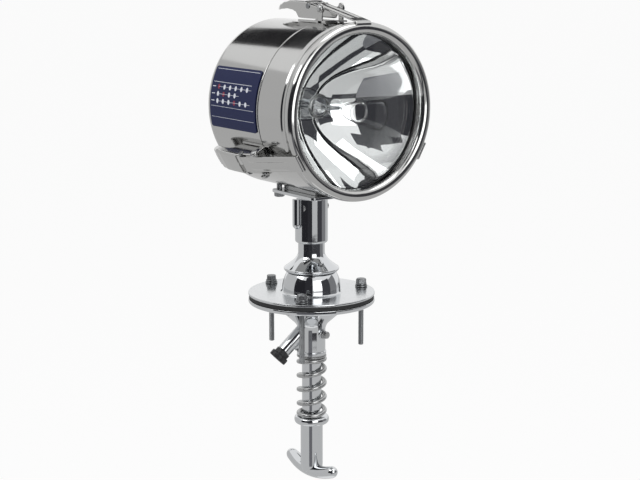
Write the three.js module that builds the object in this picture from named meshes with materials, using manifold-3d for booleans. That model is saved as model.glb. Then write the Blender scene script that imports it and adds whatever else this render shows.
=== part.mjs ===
// Searchlight for a cabin roof: a lamp drum on a neck, turned and tilted from a T-handle below the roof.
// Millimetres. +Z is up, the beam leaves along -Y, and the origin is on the shaft where the gasket meets the roof.
import * as THREE from 'three';
import { mergeVertices } from 'three/addons/utils/BufferGeometryUtils.js';
import Module from 'manifold-3d';

const wasm = await Module();
wasm.setup();

// Fits shared by every piece
const seat = 0.3; // gap between two pieces that rest on each other
const overrun = 4; // how far a cutting shape passes the face that it opens
const slack = 1; // free room round a piece that moves

// Facets round each kind of piece
const drumSides = 36;
const flangeSides = 32;
const shaftSides = 20;
const pinSides = 12;
const hexSides = 6;
const arcSteps = 4;
const bowlSteps = 7;
const shellSteps = 4;

// Roof flanges and their gasket
const flangeRadius = 70;
const flangeThickness = 2.6;
const flangeEdge = 0.8;
const gasketThickness = 4.2;
const gasketInset = 0.8;
const boltInset = 10.8; // from the rim of the flange in to the bolt circle
const boltCircleRadius = flangeRadius - boltInset;
const boltCount = 3;
const baseTurn = THREE.MathUtils.degToRad(-16); // where the first roof bolt stands, from +X
const screwTurn = baseTurn - Math.PI / boltCount; // friction screw, midway between two bolts
const glandTurn = baseTurn + Math.PI; // cable gland, opposite the first bolt

// Heights of the roof stack
const flangeTop = gasketThickness + seat + flangeThickness;
const lowerFlangeTop = -seat;

// Dome of the upper flange
const domeBaseRadius = 32.6;
const domeTopRadius = 27;
const domeHeight = 22;
const domeFillet = 2.5;

// Shafts
const tubeRadius = 10.8;
const tubeBore = 9.7;
const rodRadius = 9.4;
const rodBore = 7;
const shaftFit = 0.08; // radial running clearance in the bushes
const bushWall = 2.2;
const bushLength = 20;
const bushHeadRadius = 16;
const bushHeadThickness = 1.6;

// Bell that turns on the dome
const bellRimRadius = 30.6;
const bellRimHeight = 3.6;
const bellFlareHeight = 17.5;
const bellGap = 1.2;
const spigotRadius = 14.7;
const spigotShow = 11;
const spigotSocket = 12;
const washerInnerRadius = 17;
const washerOuterRadius = 24;
const washerThickness = 2;

// Neck casting and the tilt joint in it
const neckRadius = 18.05;
const neckWall = 3.4;
const neckHeight = 49.7;
const neckCorner = 2;
const neckRibRadius = 5;
const neckRibCentre = 19.4; // axis of the rib from the shaft axis
const neckRibHeight = 28.5;
const pivotHeight = 39.9; // above the foot of the neck
const pivotForward = 6; // ahead of the shaft axis
const pivotPinRadius = 4;
const tiltAngle = THREE.MathUtils.degToRad(20);
const linkBehind = 6.5; // link pin, behind the shaft axis and level with the pivot
const linkPinRadius = 2.6;
const linkEyeRadius = 4;
const forkGap = 0.5;
const forkThickness = 2;
const linkTravel = 4.4; // how far the push rod moves each way
const slotPlay = 0.4; // free room round the link pin in its slot
const slotReach = 0.8; // how far the slot runs on behind the pin
const tongueThickness = 10;
const hubWall = 3.2;
const tongueWall = 1.8;
const lockScrewRadius = 1.6;
const lockScrewLength = 4.2;
const lockScrewTurn = THREE.MathUtils.degToRad(-111); // from +X
const lockScrewRise = 4; // above the bell's flare

// Saddle plate under the drum
const saddleLength = 79;
const saddleWidth = 56;
const saddleThickness = 3.5;
const saddleCorner = 6;
const saddleRear = 38; // rear edge, behind the shaft axis
const saddleRise = 13.5; // underside above the pivot
const padWidth = 34;
const padLength = 58;
const padHeight = 2.8; // least height of the pad, between the saddle plate and the pot
const saddleBoltInset = 7;

// Hexagon screws, by thread radius
const m6Radius = 3;
const m6HeadRadius = 5.77;
const m6HeadHeight = 4.2;
const m6WasherRadius = 6.8;
const m6WasherThickness = 1.6;
const boltCollarRadius = 6.1;
const boltCollarThickness = 2.2;
const crownWideShare = 0.86;
const crownTopShare = 0.72;
const boltLength = 71.6;
const nutHeight = 4.8;

// Lower casting: trumpet, sleeve, gland tube and screw boss
const trumpetRadius = 45; // where the cone meets the flange
const trumpetHeight = 26.4; // down to where the cone would meet the sleeve
const trumpetFillet = 6;
const sleeveRadius = 15.45;
const sleeveEnd = 63.9; // bottom of the sleeve, below the roof plane
const sleeveLip = 0.9;
const sleeveLipHeight = 3;
const lowerFlangeThickness = 4.8;
const lowerLandShare = 0.7; // share of the lower flange that stands at full radius
const lowerFlangeEdge = 1.6;
const glandTubeRadius = 7.7;
const glandTubeLength = 34.6;
const glandBoreRadius = 4.6;
const glandAngle = THREE.MathUtils.degToRad(45);
const glandRoot = 34.7; // depth at which the gland tube's axis starts, below the roof plane
const gussetThickness = 4;
const screwDepth = 40.4; // friction screw, below the roof plane
const screwBossRadius = 5.2;
const screwBossLength = 1.6;
const lockNutShare = 0.5; // of a full nut's height
const lockNutWideShare = 0.8; // of a full head's radius
const frictionHeadShare = 0.7; // of a full head's height
const frictionHeadWideShare = 0.72;
const frictionScrewRadius = 2.5;
const earthScrewRadius = 2;
const earthHeadShare = 0.6; // of a roof bolt's head
const earthScrewDepth = 58.4;
const earthLag = THREE.MathUtils.degToRad(22); // earth screw, round from the gland

// Gland parts
const glandNutRadius = 10.4;
const glandNutLength = 6.6;
const glandCollarRadius = 8.3;
const glandCollarLength = 5;
const glandRibs = 14;
const glandRibDepth = 0.8;
const glandHoleRadius = 5.4;

// Spring and the tee handle under it
const springWireRadius = 2.5;
const springMeanRadius = 14.5;
const springPitch = 16.2;
const springDeadTurns = 0.62;
const springSides = 5;
const springStepsPerTurn = 8;
const springWasherInnerRadius = 11.4;
const springWasherOuterRadius = 16.6;
const springTopWasher = 1.5;
const springLength = 68.8;
const collarRadius = 19.5;
const collarHeight = 8.3;
const stemRadius = 12.5;
const stemLength = 56.3;
const stemToe = 9; // height over which the stem runs into the bar
const stemFillet = 2;
const handleSpan = 73;
const handleRise = 7;
const handleBarWidth = 13.8; // at its ends
const handleMidWidth = 21; // where the stem runs into it
const handleBarHeight = 12.6;
const handleSteps = 8;
const handleEndSteps = 3;
const tubeShort = 7.6; // drive tube ends this far above the handle's collar
const handlePinRadius = 2.2;

// Lamp drum
const potRadius = 91;
const potWall = 1.5;
const potRear = 60; // where the rear curve starts, behind the shaft axis
const potRearCurve = 14;
const seamAt = 45.5; // joint of pot and front band, ahead of the shaft axis
const seamGasket = 2;
const bandStep = 1; // how far the band stands out past the pot
const bandRadius = potRadius + bandStep;
const bandWall = 1.7;
const bandFront = 79.6;
const beadProud = 1.6; // how far the bead stands out past the band
const beadRadius = bandRadius + beadProud;
const beadDepth = 12.9;
const beadNeck = 0.9;
const beadStart = THREE.MathUtils.degToRad(-40); // where the roll leaves the band, below its widest
const beadLip = 0.4;

// Sealed lamp
const lampGap = 2.3; // between the lamp and the band round it
const lampRadius = bandRadius - bandWall - lampGap;
const lensLap = 7.2; // how far the bead covers the edge of the lamp
const lensOpening = lampRadius - lensLap;
const lampRim = 7;
const lampRimDepth = 3;
const focalLength = 27;
const glassWall = 3;
const lensWall = 4;
const lensCrown = 7;
const lampNeckRadius = 15;
const lampNeckLength = 16;
const emblemRadius = 11;
const emblemHeight = 0.9;
const shieldRadius = 9;
const postRadius = 1.1;
const postSpread = 9;
const filamentRadius = 2;
const filamentLength = 14;
const terminalLength = 12;
const ringWidth = 5.4;
const ringDepth = 4;

// Toggle latches round the drum
const latchCount = 3;
const leverWidth = 24.6;
const sheetThickness = 1.6;
const strapWidth = 19;
const strapThickness = 1.4;
const leverTail = 48.5; // tip of the lever, behind the shaft axis
const leverWebEnd = 5.5; // front edge of the lever's web, ahead of the shaft axis
const leverTop = 21; // top of the lever above the drum
const leverTipTop = 13;
const leverShoulderTop = 19;
const leverFoot = 3;
const leverGrip = 9.5; // underside of the finger tab above the drum
const strapPinAt = 11;
const strapPinUp = 16;
const strapPinRadius = 2;
const latchPivotAt = 35;
const latchPivotUp = 14;
const latchPivotRadius = 2.6;
const strapTopAt = 19.6; // top of the strap over its pin
const strapFallShare = 0.203; // how far the strap drops for each millimetre forward
const hookDrop = 2.5;
const hookSet = 1.8; // how far the hook stands behind the front of the bead
const earWidth = 7;
const earTop = 19.4;
const earThickness = 2;
const latchBaseRear = 4;
const latchBaseThickness = 2;
const latchOpen = THREE.MathUtils.degToRad(75);

// Rating plate on the side of the pot
const plateLength = 86;
const plateTurnShares = [-0.075, 0.155]; // lower and upper edge, as shares of half a turn
const plateThickness = 0.8;

// Finishes
const finish = (color, roughness, metalness) => new THREE.MeshStandardMaterial({ color, roughness, metalness });
const polished = finish('#c9cbcc', 0.12, 1);
const satin = finish('#b3b6b8', 0.35, 1);
const darkSteel = finish('#6b6f73', 0.4, 1);
const rubber = finish('#1b1c1d', 0.85, 0);
const blackPlastic = finish('#202123', 0.5, 0);
const bronze = finish('#a9864f', 0.4, 1);
const mirrorGlass = finish('#d9dcdd', 0.05, 1);
const clearGlass = finish('#dfe9ea', 0.05, 0);
const plateBlue = finish('#26357a', 0.45, 0);
const tungsten = finish('#8c8f92', 0.5, 1);

// Solids: each geometry becomes a closed solid that can be cut and joined
function volumeOf(geometry) {
  const point = geometry.getAttribute('position');
  const index = geometry.index.array;
  const a = new THREE.Vector3();
  const b = new THREE.Vector3();
  const c = new THREE.Vector3();
  let volume = 0;
  for (let i = 0; i < index.length; i += 3) {
    a.fromBufferAttribute(point, index[i]);
    b.fromBufferAttribute(point, index[i + 1]);
    c.fromBufferAttribute(point, index[i + 2]);
    volume += a.dot(b.cross(c)) / 6;
  }
  return volume;
}

function weld(geometry) {
  for (const name of ['normal', 'uv']) geometry.deleteAttribute(name);
  const merged = mergeVertices(geometry, 1e-4);
  const from = merged.index.array;
  const kept = [];
  for (let i = 0; i < from.length; i += 3) {
    const [a, b, c] = [from[i], from[i + 1], from[i + 2]];
    if (a !== b && b !== c && c !== a) kept.push(a, b, c);
  }
  merged.setIndex(kept);
  if (volumeOf(merged) < 0) {
    for (let i = 0; i < kept.length; i += 3) [kept[i + 1], kept[i + 2]] = [kept[i + 2], kept[i + 1]];
    merged.setIndex(kept);
  }
  return merged;
}

function solid(geometry) {
  const welded = weld(geometry);
  const vertProperties = new Float32Array(welded.getAttribute('position').array);
  const triVerts = new Uint32Array(welded.index.array);
  return new wasm.Manifold(new wasm.Mesh({ numProp: 3, vertProperties, triVerts }));
}

function geometryOf(manifold) {
  const mesh = manifold.getMesh();
  const geometry = new THREE.BufferGeometry();
  geometry.setAttribute('position', new THREE.BufferAttribute(new Float32Array(mesh.vertProperties), 3));
  geometry.setIndex(new THREE.BufferAttribute(new Uint32Array(mesh.triVerts), 1));
  geometry.computeVertexNormals();
  return geometry;
}

const group = new THREE.Group();
function place(parent, name, shape, material) {
  const mesh = new THREE.Mesh(geometryOf(shape), material);
  mesh.name = name;
  parent.add(mesh);
  return mesh;
}

// A revolved solid about Z from [radius, height] points, which start and end on the axis or close on themselves
function revolve(profile, sides) {
  const points = profile.map(([r, z]) => new THREE.Vector2(Math.max(r, 0), z));
  if (profile[0][0] > 0) points.push(points[0].clone());
  return solid(new THREE.LatheGeometry(points, sides).rotateX(Math.PI / 2));
}

// A straight round bar, or a hexagon with hexSides, between two heights on Z
function bar(radius, from, to, sides = shaftSides) {
  const cylinder = new THREE.CylinderGeometry(radius, radius, to - from, sides);
  return solid(cylinder.rotateX(Math.PI / 2).translate(0, 0, (from + to) / 2));
}

// A closed skin over rings of as many points each, one after the other along the piece
function loft(rings) {
  const sides = rings[0].length;
  const last = rings.length - 1;
  const at = (i, k) => i * sides + (k % sides);
  const index = [];
  for (let i = 0; i < last; i += 1) {
    for (let k = 0; k < sides; k += 1) {
      index.push(at(i, k), at(i + 1, k), at(i + 1, k + 1), at(i, k), at(i + 1, k + 1), at(i, k + 1));
    }
  }
  for (let k = 1; k < sides - 1; k += 1) {
    index.push(at(0, 0), at(0, k), at(0, k + 1), at(last, 0), at(last, k + 1), at(last, k));
  }
  const geometry = new THREE.BufferGeometry().setFromPoints(rings.flat());
  geometry.setIndex(index);
  return solid(geometry);
}

// A round or hexagonal pin along X between two places, at [y, z]
function crossBar(radius, from, to, y, z, sides = pinSides) {
  const cylinder = new THREE.CylinderGeometry(radius, radius, to - from, sides);
  return solid(cylinder.rotateZ(Math.PI / 2).translate((from + to) / 2, y, z));
}

function block(sizeX, sizeY, sizeZ, x, y, z) {
  return solid(new THREE.BoxGeometry(sizeX, sizeY, sizeZ).translate(x, y, z));
}

// A plate along X, centred, from an outline of [y, z] points
function slab(outline, width) {
  const shape = new THREE.Shape(outline.map(([y, z]) => new THREE.Vector2(y, z)));
  const geometry = new THREE.ExtrudeGeometry(shape, { depth: width, bevelEnabled: false });
  return solid(geometry.translate(0, 0, -width / 2).rotateY(Math.PI / 2).rotateX(Math.PI / 2));
}

// Points of an arc about [x, y], from one angle to another
function arc(x, y, radius, from, to, steps = arcSteps) {
  return Array.from({ length: steps + 1 }, (_, i) => {
    const angle = from + ((to - from) * i) / steps;
    return [x + radius * Math.cos(angle), y + radius * Math.sin(angle)];
  });
}

const turned = (shape, angle) => shape.rotate([0, 0, THREE.MathUtils.radToDeg(angle)]);
const aboutX = (shape, angle) => shape.rotate([THREE.MathUtils.radToDeg(angle), 0, 0]);
const aboutY = (shape, angle) => shape.rotate([0, THREE.MathUtils.radToDeg(angle), 0]);
const quarter = Math.PI / 2;

// Roof flange with its dome
const clearOf = (radius, sides) => (radius + shaftFit) / Math.cos(Math.PI / sides);
const bushBore = clearOf(tubeRadius, shaftSides);
const bushOuter = bushBore + bushWall;
const boltHoleRadius = m6Radius + seat;
function boltHoles(shape, from, to) {
  let cut = shape;
  for (let i = 0; i < boltCount; i += 1) {
    const hole = bar(boltHoleRadius, from, to, pinSides).translate([boltCircleRadius, 0, 0]);
    cut = cut.subtract(turned(hole, baseTurn + (2 * Math.PI * i) / boltCount));
  }
  return cut;
}

const domeSweep = Math.acos(domeTopRadius / domeBaseRadius);
const domeCurve = Array.from({ length: arcSteps + 1 }, (_, i) => {
  const angle = (domeSweep * i) / arcSteps;
  const rise = domeFillet + ((domeHeight - domeFillet) * Math.sin(angle)) / Math.sin(domeSweep);
  return [domeBaseRadius * Math.cos(angle), flangeTop + rise];
});
const flangeProfile = [
  [bushOuter + seat, flangeTop - flangeThickness],
  [flangeRadius - flangeEdge, flangeTop - flangeThickness],
  [flangeRadius, flangeTop - flangeThickness + flangeEdge],
  [flangeRadius, flangeTop - flangeEdge],
  [flangeRadius - flangeEdge, flangeTop],
  [domeBaseRadius + domeFillet, flangeTop],
  [domeBaseRadius + domeFillet / 4, flangeTop + domeFillet / 4],
  ...domeCurve,
  [bushOuter + seat, flangeTop + domeHeight],
];
const topFlange = boltHoles(revolve(flangeProfile, flangeSides), -overrun, flangeTop + overrun);
place(group, 'top_flange', topFlange, polished);

const gasketOuter = flangeRadius - gasketInset;
const gasket = revolve([
  [domeBaseRadius, 0],
  [gasketOuter, 0],
  [gasketOuter, gasketThickness],
  [domeBaseRadius, gasketThickness],
], flangeSides);
place(group, 'roof_gasket', boltHoles(gasket, -overrun, gasketThickness + overrun), rubber);

// Bushes that carry the drive tube
function bush(from, to, headAt, headTo) {
  const body = revolve([[bushBore, from], [bushOuter, from], [bushOuter, to], [bushBore, to]], shaftSides);
  const collar = revolve([
    [bushBore, headAt],
    [bushHeadRadius, headAt],
    [bushHeadRadius, headTo],
    [bushBore, headTo],
  ], shaftSides);
  return body.add(collar);
}
const domeTop = flangeTop + domeHeight;
const upperHead = domeTop + seat;
place(group, 'upper_bush', bush(domeTop - bushLength, upperHead + bushHeadThickness / 2, upperHead,
  upperHead + bushHeadThickness), bronze);

// Lower casting: flange, trumpet, sleeve, gland tube and screw boss in one piece
const lowerFlangeFoot = lowerFlangeTop - lowerFlangeThickness;
const sleeveBore = bushOuter + seat;
const coneLean = Math.atan2(trumpetRadius - sleeveRadius, trumpetHeight);
const coneFoot = lowerFlangeFoot - trumpetHeight;
const trumpetCurve = Array.from({ length: arcSteps + 1 }, (_, i) => {
  const share = i / arcSteps;
  const [start, end] = [(1 - share) ** 2 * trumpetFillet, share ** 2 * trumpetFillet];
  return [sleeveRadius + start * Math.sin(coneLean), coneFoot + start * Math.cos(coneLean) - end];
});
const lowerProfile = [
  [sleeveBore, lowerFlangeTop],
  [flangeRadius, lowerFlangeTop],
  [flangeRadius, lowerFlangeTop - lowerFlangeThickness * lowerLandShare],
  [flangeRadius - lowerFlangeEdge, lowerFlangeFoot],
  [trumpetRadius + lowerFlangeEdge, lowerFlangeFoot],
  [trumpetRadius, lowerFlangeFoot - lowerFlangeEdge / 2],
  ...trumpetCurve,
  [sleeveRadius, -sleeveEnd + sleeveLipHeight + sleeveLip],
  [sleeveRadius + sleeveLip, -sleeveEnd + sleeveLipHeight],
  [sleeveRadius + sleeveLip, -sleeveEnd],
  [sleeveBore, -sleeveEnd],
];
// The gland tube is drawn along +Z and then laid out and down from the shaft
const tubeStart = sleeveRadius - glandTubeRadius / 2;
const layGland = (shape) => turned(
  aboutY(shape, quarter + glandAngle).translate([tubeStart * Math.cos(glandAngle), 0, -glandRoot]),
  glandTurn,
);
const glandTube = layGland(bar(glandTubeRadius, 0, glandTubeLength, shaftSides));
const glandBore = layGland(bar(glandBoreRadius, -glandTubeRadius, glandTubeLength + overrun, pinSides));
const gussetShare = 0.75; // share of the gland tube that the gusset runs under
const gussetReach = glandTubeLength * Math.cos(glandAngle) * gussetShare;
const gussetTop = glandRoot + glandTubeRadius / Math.sin(glandAngle) / 2;
const gusset = turned(slab([
  [sleeveRadius - seat, -gussetTop],
  [sleeveRadius + gussetReach, -gussetTop - gussetReach * Math.tan(glandAngle)],
  [sleeveRadius - seat, -sleeveEnd + sleeveLipHeight + gussetThickness],
], gussetThickness), glandTurn - quarter);
const screwBoss = turned(
  aboutY(bar(screwBossRadius, sleeveRadius - screwBossLength, sleeveRadius + screwBossLength), quarter)
    .translate([0, 0, -screwDepth]),
  screwTurn,
);
const screwBore = turned(
  aboutY(bar(frictionScrewRadius + seat, tubeRadius, sleeveRadius + overrun * 2, pinSides), quarter)
    .translate([0, 0, -screwDepth]),
  screwTurn,
);
const earthTurn = glandTurn - earthLag;
const earthHeadRadius = m6HeadRadius * earthHeadShare;
const earthSpotFace = turned(
  aboutY(bar(earthHeadRadius + seat, sleeveRadius, sleeveRadius + m6HeadHeight, pinSides), quarter)
    .translate([0, 0, -earthScrewDepth]),
  earthTurn,
);
const earthBore = turned(
  aboutY(bar(earthScrewRadius + seat, sleeveBore - overrun, sleeveRadius + overrun, pinSides), quarter)
    .translate([0, 0, -earthScrewDepth]),
  earthTurn,
);
const sleeveHollow = bar(sleeveBore, -sleeveEnd - overrun, lowerFlangeTop + overrun);
const lowerCasting = boltHoles(
  revolve(lowerProfile, flangeSides).add(glandTube).add(gusset).add(screwBoss)
    .subtract(sleeveHollow).subtract(glandBore).subtract(screwBore).subtract(earthBore).subtract(earthSpotFace),
  lowerFlangeFoot - overrun,
  lowerFlangeTop + overrun,
);
place(group, 'lower_casting', lowerCasting, polished);

const lowerHead = -sleeveEnd - seat;
const lowerBushTop = -sleeveEnd + bushLength;
const lowerBush = bush(lowerHead - bushHeadThickness / 2, lowerBushTop, lowerHead - bushHeadThickness, lowerHead);
place(group, 'lower_bush', lowerBush.subtract(earthBore), bronze);

// Roof bolts: the head stands on its own collar, with a plain washer under it
const washerFoot = flangeTop + seat;
const boltCollarFoot = washerFoot + m6WasherThickness + seat;
const headFoot = boltCollarFoot + boltCollarThickness;
function hexScrew(headFrom, headHeight, headRadius, shankRadius, length) {
  const head = bar(headRadius, headFrom, headFrom + headHeight, hexSides);
  const crown = revolve([
    [0, headFrom + headHeight - seat],
    [headRadius * crownWideShare, headFrom + headHeight - seat],
    [headRadius * crownTopShare, headFrom + headHeight + seat * 2],
    [0, headFrom + headHeight + seat * 2],
  ], pinSides);
  return head.add(crown).add(bar(shankRadius, headFrom - length, headFrom + seat, pinSides));
}
function washer(inner, outer, from, thickness) {
  return revolve([[inner, from], [outer, from], [outer, from + thickness], [inner, from + thickness]], shaftSides);
}
for (let i = 0; i < boltCount; i += 1) {
  const turn = baseTurn + (2 * Math.PI * i) / boltCount;
  const outwards = (shape) => turned(shape.translate([boltCircleRadius, 0, 0]), turn);
  const bolt = hexScrew(headFoot, m6HeadHeight, m6HeadRadius, m6Radius, boltLength)
    .add(bar(boltCollarRadius, boltCollarFoot, headFoot + seat));
  place(group, `roof_bolt_${i + 1}`, outwards(bolt), darkSteel);
  const plain = washer(boltHoleRadius, m6WasherRadius, washerFoot, m6WasherThickness);
  place(group, `roof_washer_${i + 1}`, outwards(plain), darkSteel);
}

// Friction screw with its lock nut, and the earth screw
const bossFace = sleeveRadius + screwBossLength;
const nutFace = bossFace + seat + nutHeight * lockNutShare;
const screwOut = (shape, depth, turn) => turned(aboutY(shape, quarter).translate([0, 0, -depth]), turn);
const lockNut = bar(m6HeadRadius * lockNutWideShare, bossFace + seat, nutFace, hexSides)
  .subtract(bar(frictionScrewRadius + seat, sleeveRadius, nutFace + overrun, pinSides));
place(group, 'friction_lock_nut', screwOut(lockNut, screwDepth, screwTurn), darkSteel);
const frictionLength = nutFace + seat - tubeRadius - bushWall;
const frictionScrew = hexScrew(nutFace + seat, m6HeadHeight * frictionHeadShare,
  m6HeadRadius * frictionHeadWideShare, frictionScrewRadius, frictionLength + bushWall - seat);
place(group, 'friction_screw', screwOut(frictionScrew, screwDepth, screwTurn), darkSteel);
const earthScrew = hexScrew(sleeveRadius + seat, m6HeadHeight * earthHeadShare, earthHeadRadius, earthScrewRadius,
  sleeveRadius - sleeveBore);
place(group, 'earth_screw', screwOut(earthScrew, earthScrewDepth, earthTurn), darkSteel);

// Gland: ribbed cap and collar, with a rubber plug that blanks it
const collarFrom = glandTubeLength + seat;
const nutFrom = collarFrom + glandCollarLength;
const glandRibSteps = 4; // points round one rib and the groove beside it
const ribbed = new THREE.Shape(Array.from({ length: glandRibs * glandRibSteps }, (_, i) => {
  const angle = (2 * Math.PI * i) / (glandRibs * glandRibSteps);
  const radius = glandNutRadius - (i % glandRibSteps < glandRibSteps / 2 ? 0 : glandRibDepth);
  return new THREE.Vector2(radius * Math.cos(angle), radius * Math.sin(angle));
}));
const ribbedDisc = solid(new THREE.ExtrudeGeometry(ribbed, { depth: glandNutLength, bevelEnabled: false })
  .translate(0, 0, nutFrom));
const glandHole = bar(glandHoleRadius + seat, collarFrom - overrun, nutFrom + glandNutLength + overrun);
const glandCap = ribbedDisc.add(bar(glandCollarRadius, collarFrom, nutFrom + seat)).subtract(glandHole);
place(group, 'gland_cap', layGland(glandCap), blackPlastic);
const plugDepth = glandCollarLength * 2;
const plug = bar(glandHoleRadius, collarFrom, nutFrom + glandNutLength - glandRibDepth)
  .add(bar(glandBoreRadius - seat, collarFrom - plugDepth, collarFrom + seat, pinSides));
place(group, 'gland_plug', layGland(plug), rubber);

// Bell: turns on the dome and carries the neck
const turntable = new THREE.Group();
group.add(turntable);
const rimFoot = domeTop + bellGap;
const rimTop = rimFoot + bellRimHeight;
const flareTop = rimTop + bellFlareHeight;
const neckFoot = flareTop + spigotShow;
const spigotTop = neckFoot + spigotSocket;
const bellBore = tubeRadius + seat;
const washerRecess = rimFoot + washerThickness;
const bellFlare = Array.from({ length: arcSteps + 2 }, (_, i) => {
  const share = i / (arcSteps + 1);
  return [bellRimRadius - (bellRimRadius - spigotRadius) * Math.sin(quarter * share), rimTop + bellFlareHeight * share];
});
const bell = revolve([
  [washerOuterRadius + seat, rimFoot],
  [bellRimRadius - bellRimHeight / 2, rimFoot],
  [bellRimRadius, rimFoot + bellRimHeight / 2],
  ...bellFlare,
  [spigotRadius, spigotTop],
  [bellBore, spigotTop],
  [bellBore, washerRecess + bushHeadThickness],
  [washerInnerRadius, washerRecess + bushHeadThickness],
  [washerInnerRadius, washerRecess],
  [washerOuterRadius + seat, washerRecess],
], flangeSides);
const lockHeight = flareTop + lockScrewRise;
const lockOut = (shape) => turned(aboutY(shape, quarter).translate([0, 0, lockHeight]), lockScrewTurn);
const lockBore = lockOut(bar(lockScrewRadius + seat, tubeRadius - overrun, neckRadius + overrun, pinSides));
place(turntable, 'bell', bell.subtract(lockBore), polished);
const thrustFoot = domeTop + seat;
const thrustTop = washerRecess - seat;
place(turntable, 'thrust_washer', washer(washerInnerRadius + seat, washerOuterRadius, thrustFoot,
  thrustTop - thrustFoot), blackPlastic);

// Neck casting with its rib, sloped crown and cross bore
const neckTop = neckFoot + neckHeight;
const neckBore = neckRadius - neckWall;
const pivotZ = neckFoot + pivotHeight;
const pivotY = -pivotForward;
const saddleFoot = pivotZ + saddleRise;
const neckOuter = revolve([
  [0, neckFoot],
  [neckRadius - neckCorner, neckFoot],
  [neckRadius - neckCorner / 4, neckFoot + neckCorner / 2],
  [neckRadius, neckFoot + neckCorner],
  [neckRadius, neckTop],
  [0, neckTop],
], shaftSides + shaftSides / 2);
const ribFoot = neckTop - neckRibHeight;
const neckRib = bar(neckRibRadius, ribFoot, neckTop, shaftSides / 2)
  .add(solid(new THREE.SphereGeometry(neckRibRadius, shaftSides / 2, shaftSides / 3).translate(0, 0, ribFoot)))
  .translate([-neckRibCentre, 0, 0]);
// The crown slopes so that the saddle clears it at each end of the tilt
const crownReach = neckRadius * 2;
const crownGap = saddleRise / Math.cos(tiltAngle) - slack;
const crownCut = (way) => {
  const reach = crownReach * way;
  return slab([
    [pivotY, pivotZ + crownGap],
    [pivotY + reach, pivotZ + crownGap - crownReach * Math.tan(tiltAngle)],
    [pivotY + reach, pivotZ + crownReach],
    [pivotY, pivotZ + crownReach],
  ], crownReach * 2);
};
const spigotHole = bar(spigotRadius + seat, neckFoot - overrun, spigotTop + seat);
const neckHole = bar(neckBore, neckFoot, neckTop + overrun);
const pivotBore = crossBar(
  clearOf(pivotPinRadius, shaftSides), -neckRadius + neckWall / 3, neckRadius + overrun, pivotY, pivotZ, shaftSides);
const neck = neckOuter.add(neckRib).subtract(crownCut(1)).subtract(crownCut(-1))
  .subtract(spigotHole).subtract(neckHole).subtract(pivotBore);
place(turntable, 'neck_casting', neck, polished);
const pinReach = Math.sqrt(neckRadius ** 2 - pivotForward ** 2);
place(turntable, 'tilt_pin', crossBar(pivotPinRadius, -neckRadius + neckWall / 3 + seat, pinReach - seat, pivotY, pivotZ,
  shaftSides), satin);
const lockScrew = bar(lockScrewRadius, spigotRadius - lockScrewLength, spigotRadius - seat, pinSides)
  .subtract(bar(lockScrewRadius / 2, spigotRadius - lockScrewLength / 2, spigotRadius, hexSides));
place(turntable, 'lock_screw', lockOut(lockScrew), darkSteel);

// Drive tube: joins the bell to the handle's turn, and ends above the handle's collar
const springTop = lowerHead - bushHeadThickness - seat - springTopWasher - seat;
const collarTop = springTop - springLength;
const tubeFoot = collarTop + tubeShort;
const tubeTop = spigotTop - seat;
const driveTube = revolve([
  [tubeBore, tubeFoot],
  [tubeRadius, tubeFoot],
  [tubeRadius, tubeTop],
  [tubeBore, tubeTop],
], shaftSides);
place(turntable, 'drive_tube', driveTube.subtract(lockBore), polished);
place(group, 'spring_washer_plate', washer(springWasherInnerRadius, springWasherOuterRadius, springTop + seat,
  springTopWasher), satin);

// Push rod: lifts the link pin, with a fork round the head's tongue
const handle = new THREE.Group();
turntable.add(handle);
const linkZ = pivotZ;
const linkY = linkBehind;
const forkInner = tongueThickness / 2 + forkGap;
const forkOuter = forkInner + forkThickness;
const hubRadius = pivotPinRadius + hubWall;
const rodTop = pivotZ - hubRadius - linkTravel - slack;
const stemFoot = collarTop - collarHeight - stemLength;
const rodFoot = stemFoot + handleBarHeight;
const forkBlank = slab([
  [-rodRadius / 2, rodTop - overrun],
  [rodRadius - seat, rodTop - overrun],
  ...arc(linkY, linkZ, linkEyeRadius, 0, Math.PI, arcSteps + 1),
  [linkY - linkEyeRadius, linkZ - linkEyeRadius],
  [-rodRadius / 2, rodTop],
], forkOuter * 2);
const forkSlot = block(forkInner * 2, neckRadius * 2, neckHeight, 0, 0, rodTop + neckHeight / 2);
const linkHole = crossBar(clearOf(linkPinRadius, pinSides), -neckRadius, neckRadius, linkY, linkZ);
const pushRod = bar(rodRadius, rodFoot, rodTop).add(forkBlank).subtract(forkSlot).subtract(linkHole)
  .subtract(bar(rodBore, rodFoot - overrun, rodTop - overrun * 2));
const handlePinZ = collarTop - collarHeight - stemRadius;
const handleBore = aboutX(bar(handlePinRadius + seat, rodBore, stemRadius + overrun, pinSides), -quarter)
  .translate([0, 0, handlePinZ]);
place(handle, 'push_rod', pushRod.subtract(handleBore), polished);
place(handle, 'link_pin', crossBar(linkPinRadius, -forkOuter, forkOuter, linkY, linkZ), darkSteel);

// Tee handle: collar, stem and a bar whose ends turn up
const collarMid = collarTop - collarHeight / 2;
const collarCurve = arc(collarRadius - collarHeight / 3, collarMid, collarHeight / 3, quarter, -quarter, arcSteps + 1);
const stemProfile = [
  [rodRadius + seat, collarTop],
  [sleeveRadius + seat, collarTop],
  ...collarCurve,
  [stemRadius + stemFillet, collarTop - collarHeight],
  [stemRadius, collarTop - collarHeight - stemFillet],
  ...Array.from({ length: arcSteps }, (_, i) => {
    const angle = (quarter * i) / (arcSteps - 1);
    const inset = (stemRadius - handleMidWidth / 2) * (1 - Math.cos(angle));
    return [stemRadius - inset, stemFoot + stemToe * (1 - Math.sin(angle))];
  }),
  [rodRadius + seat, stemFoot],
];
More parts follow.
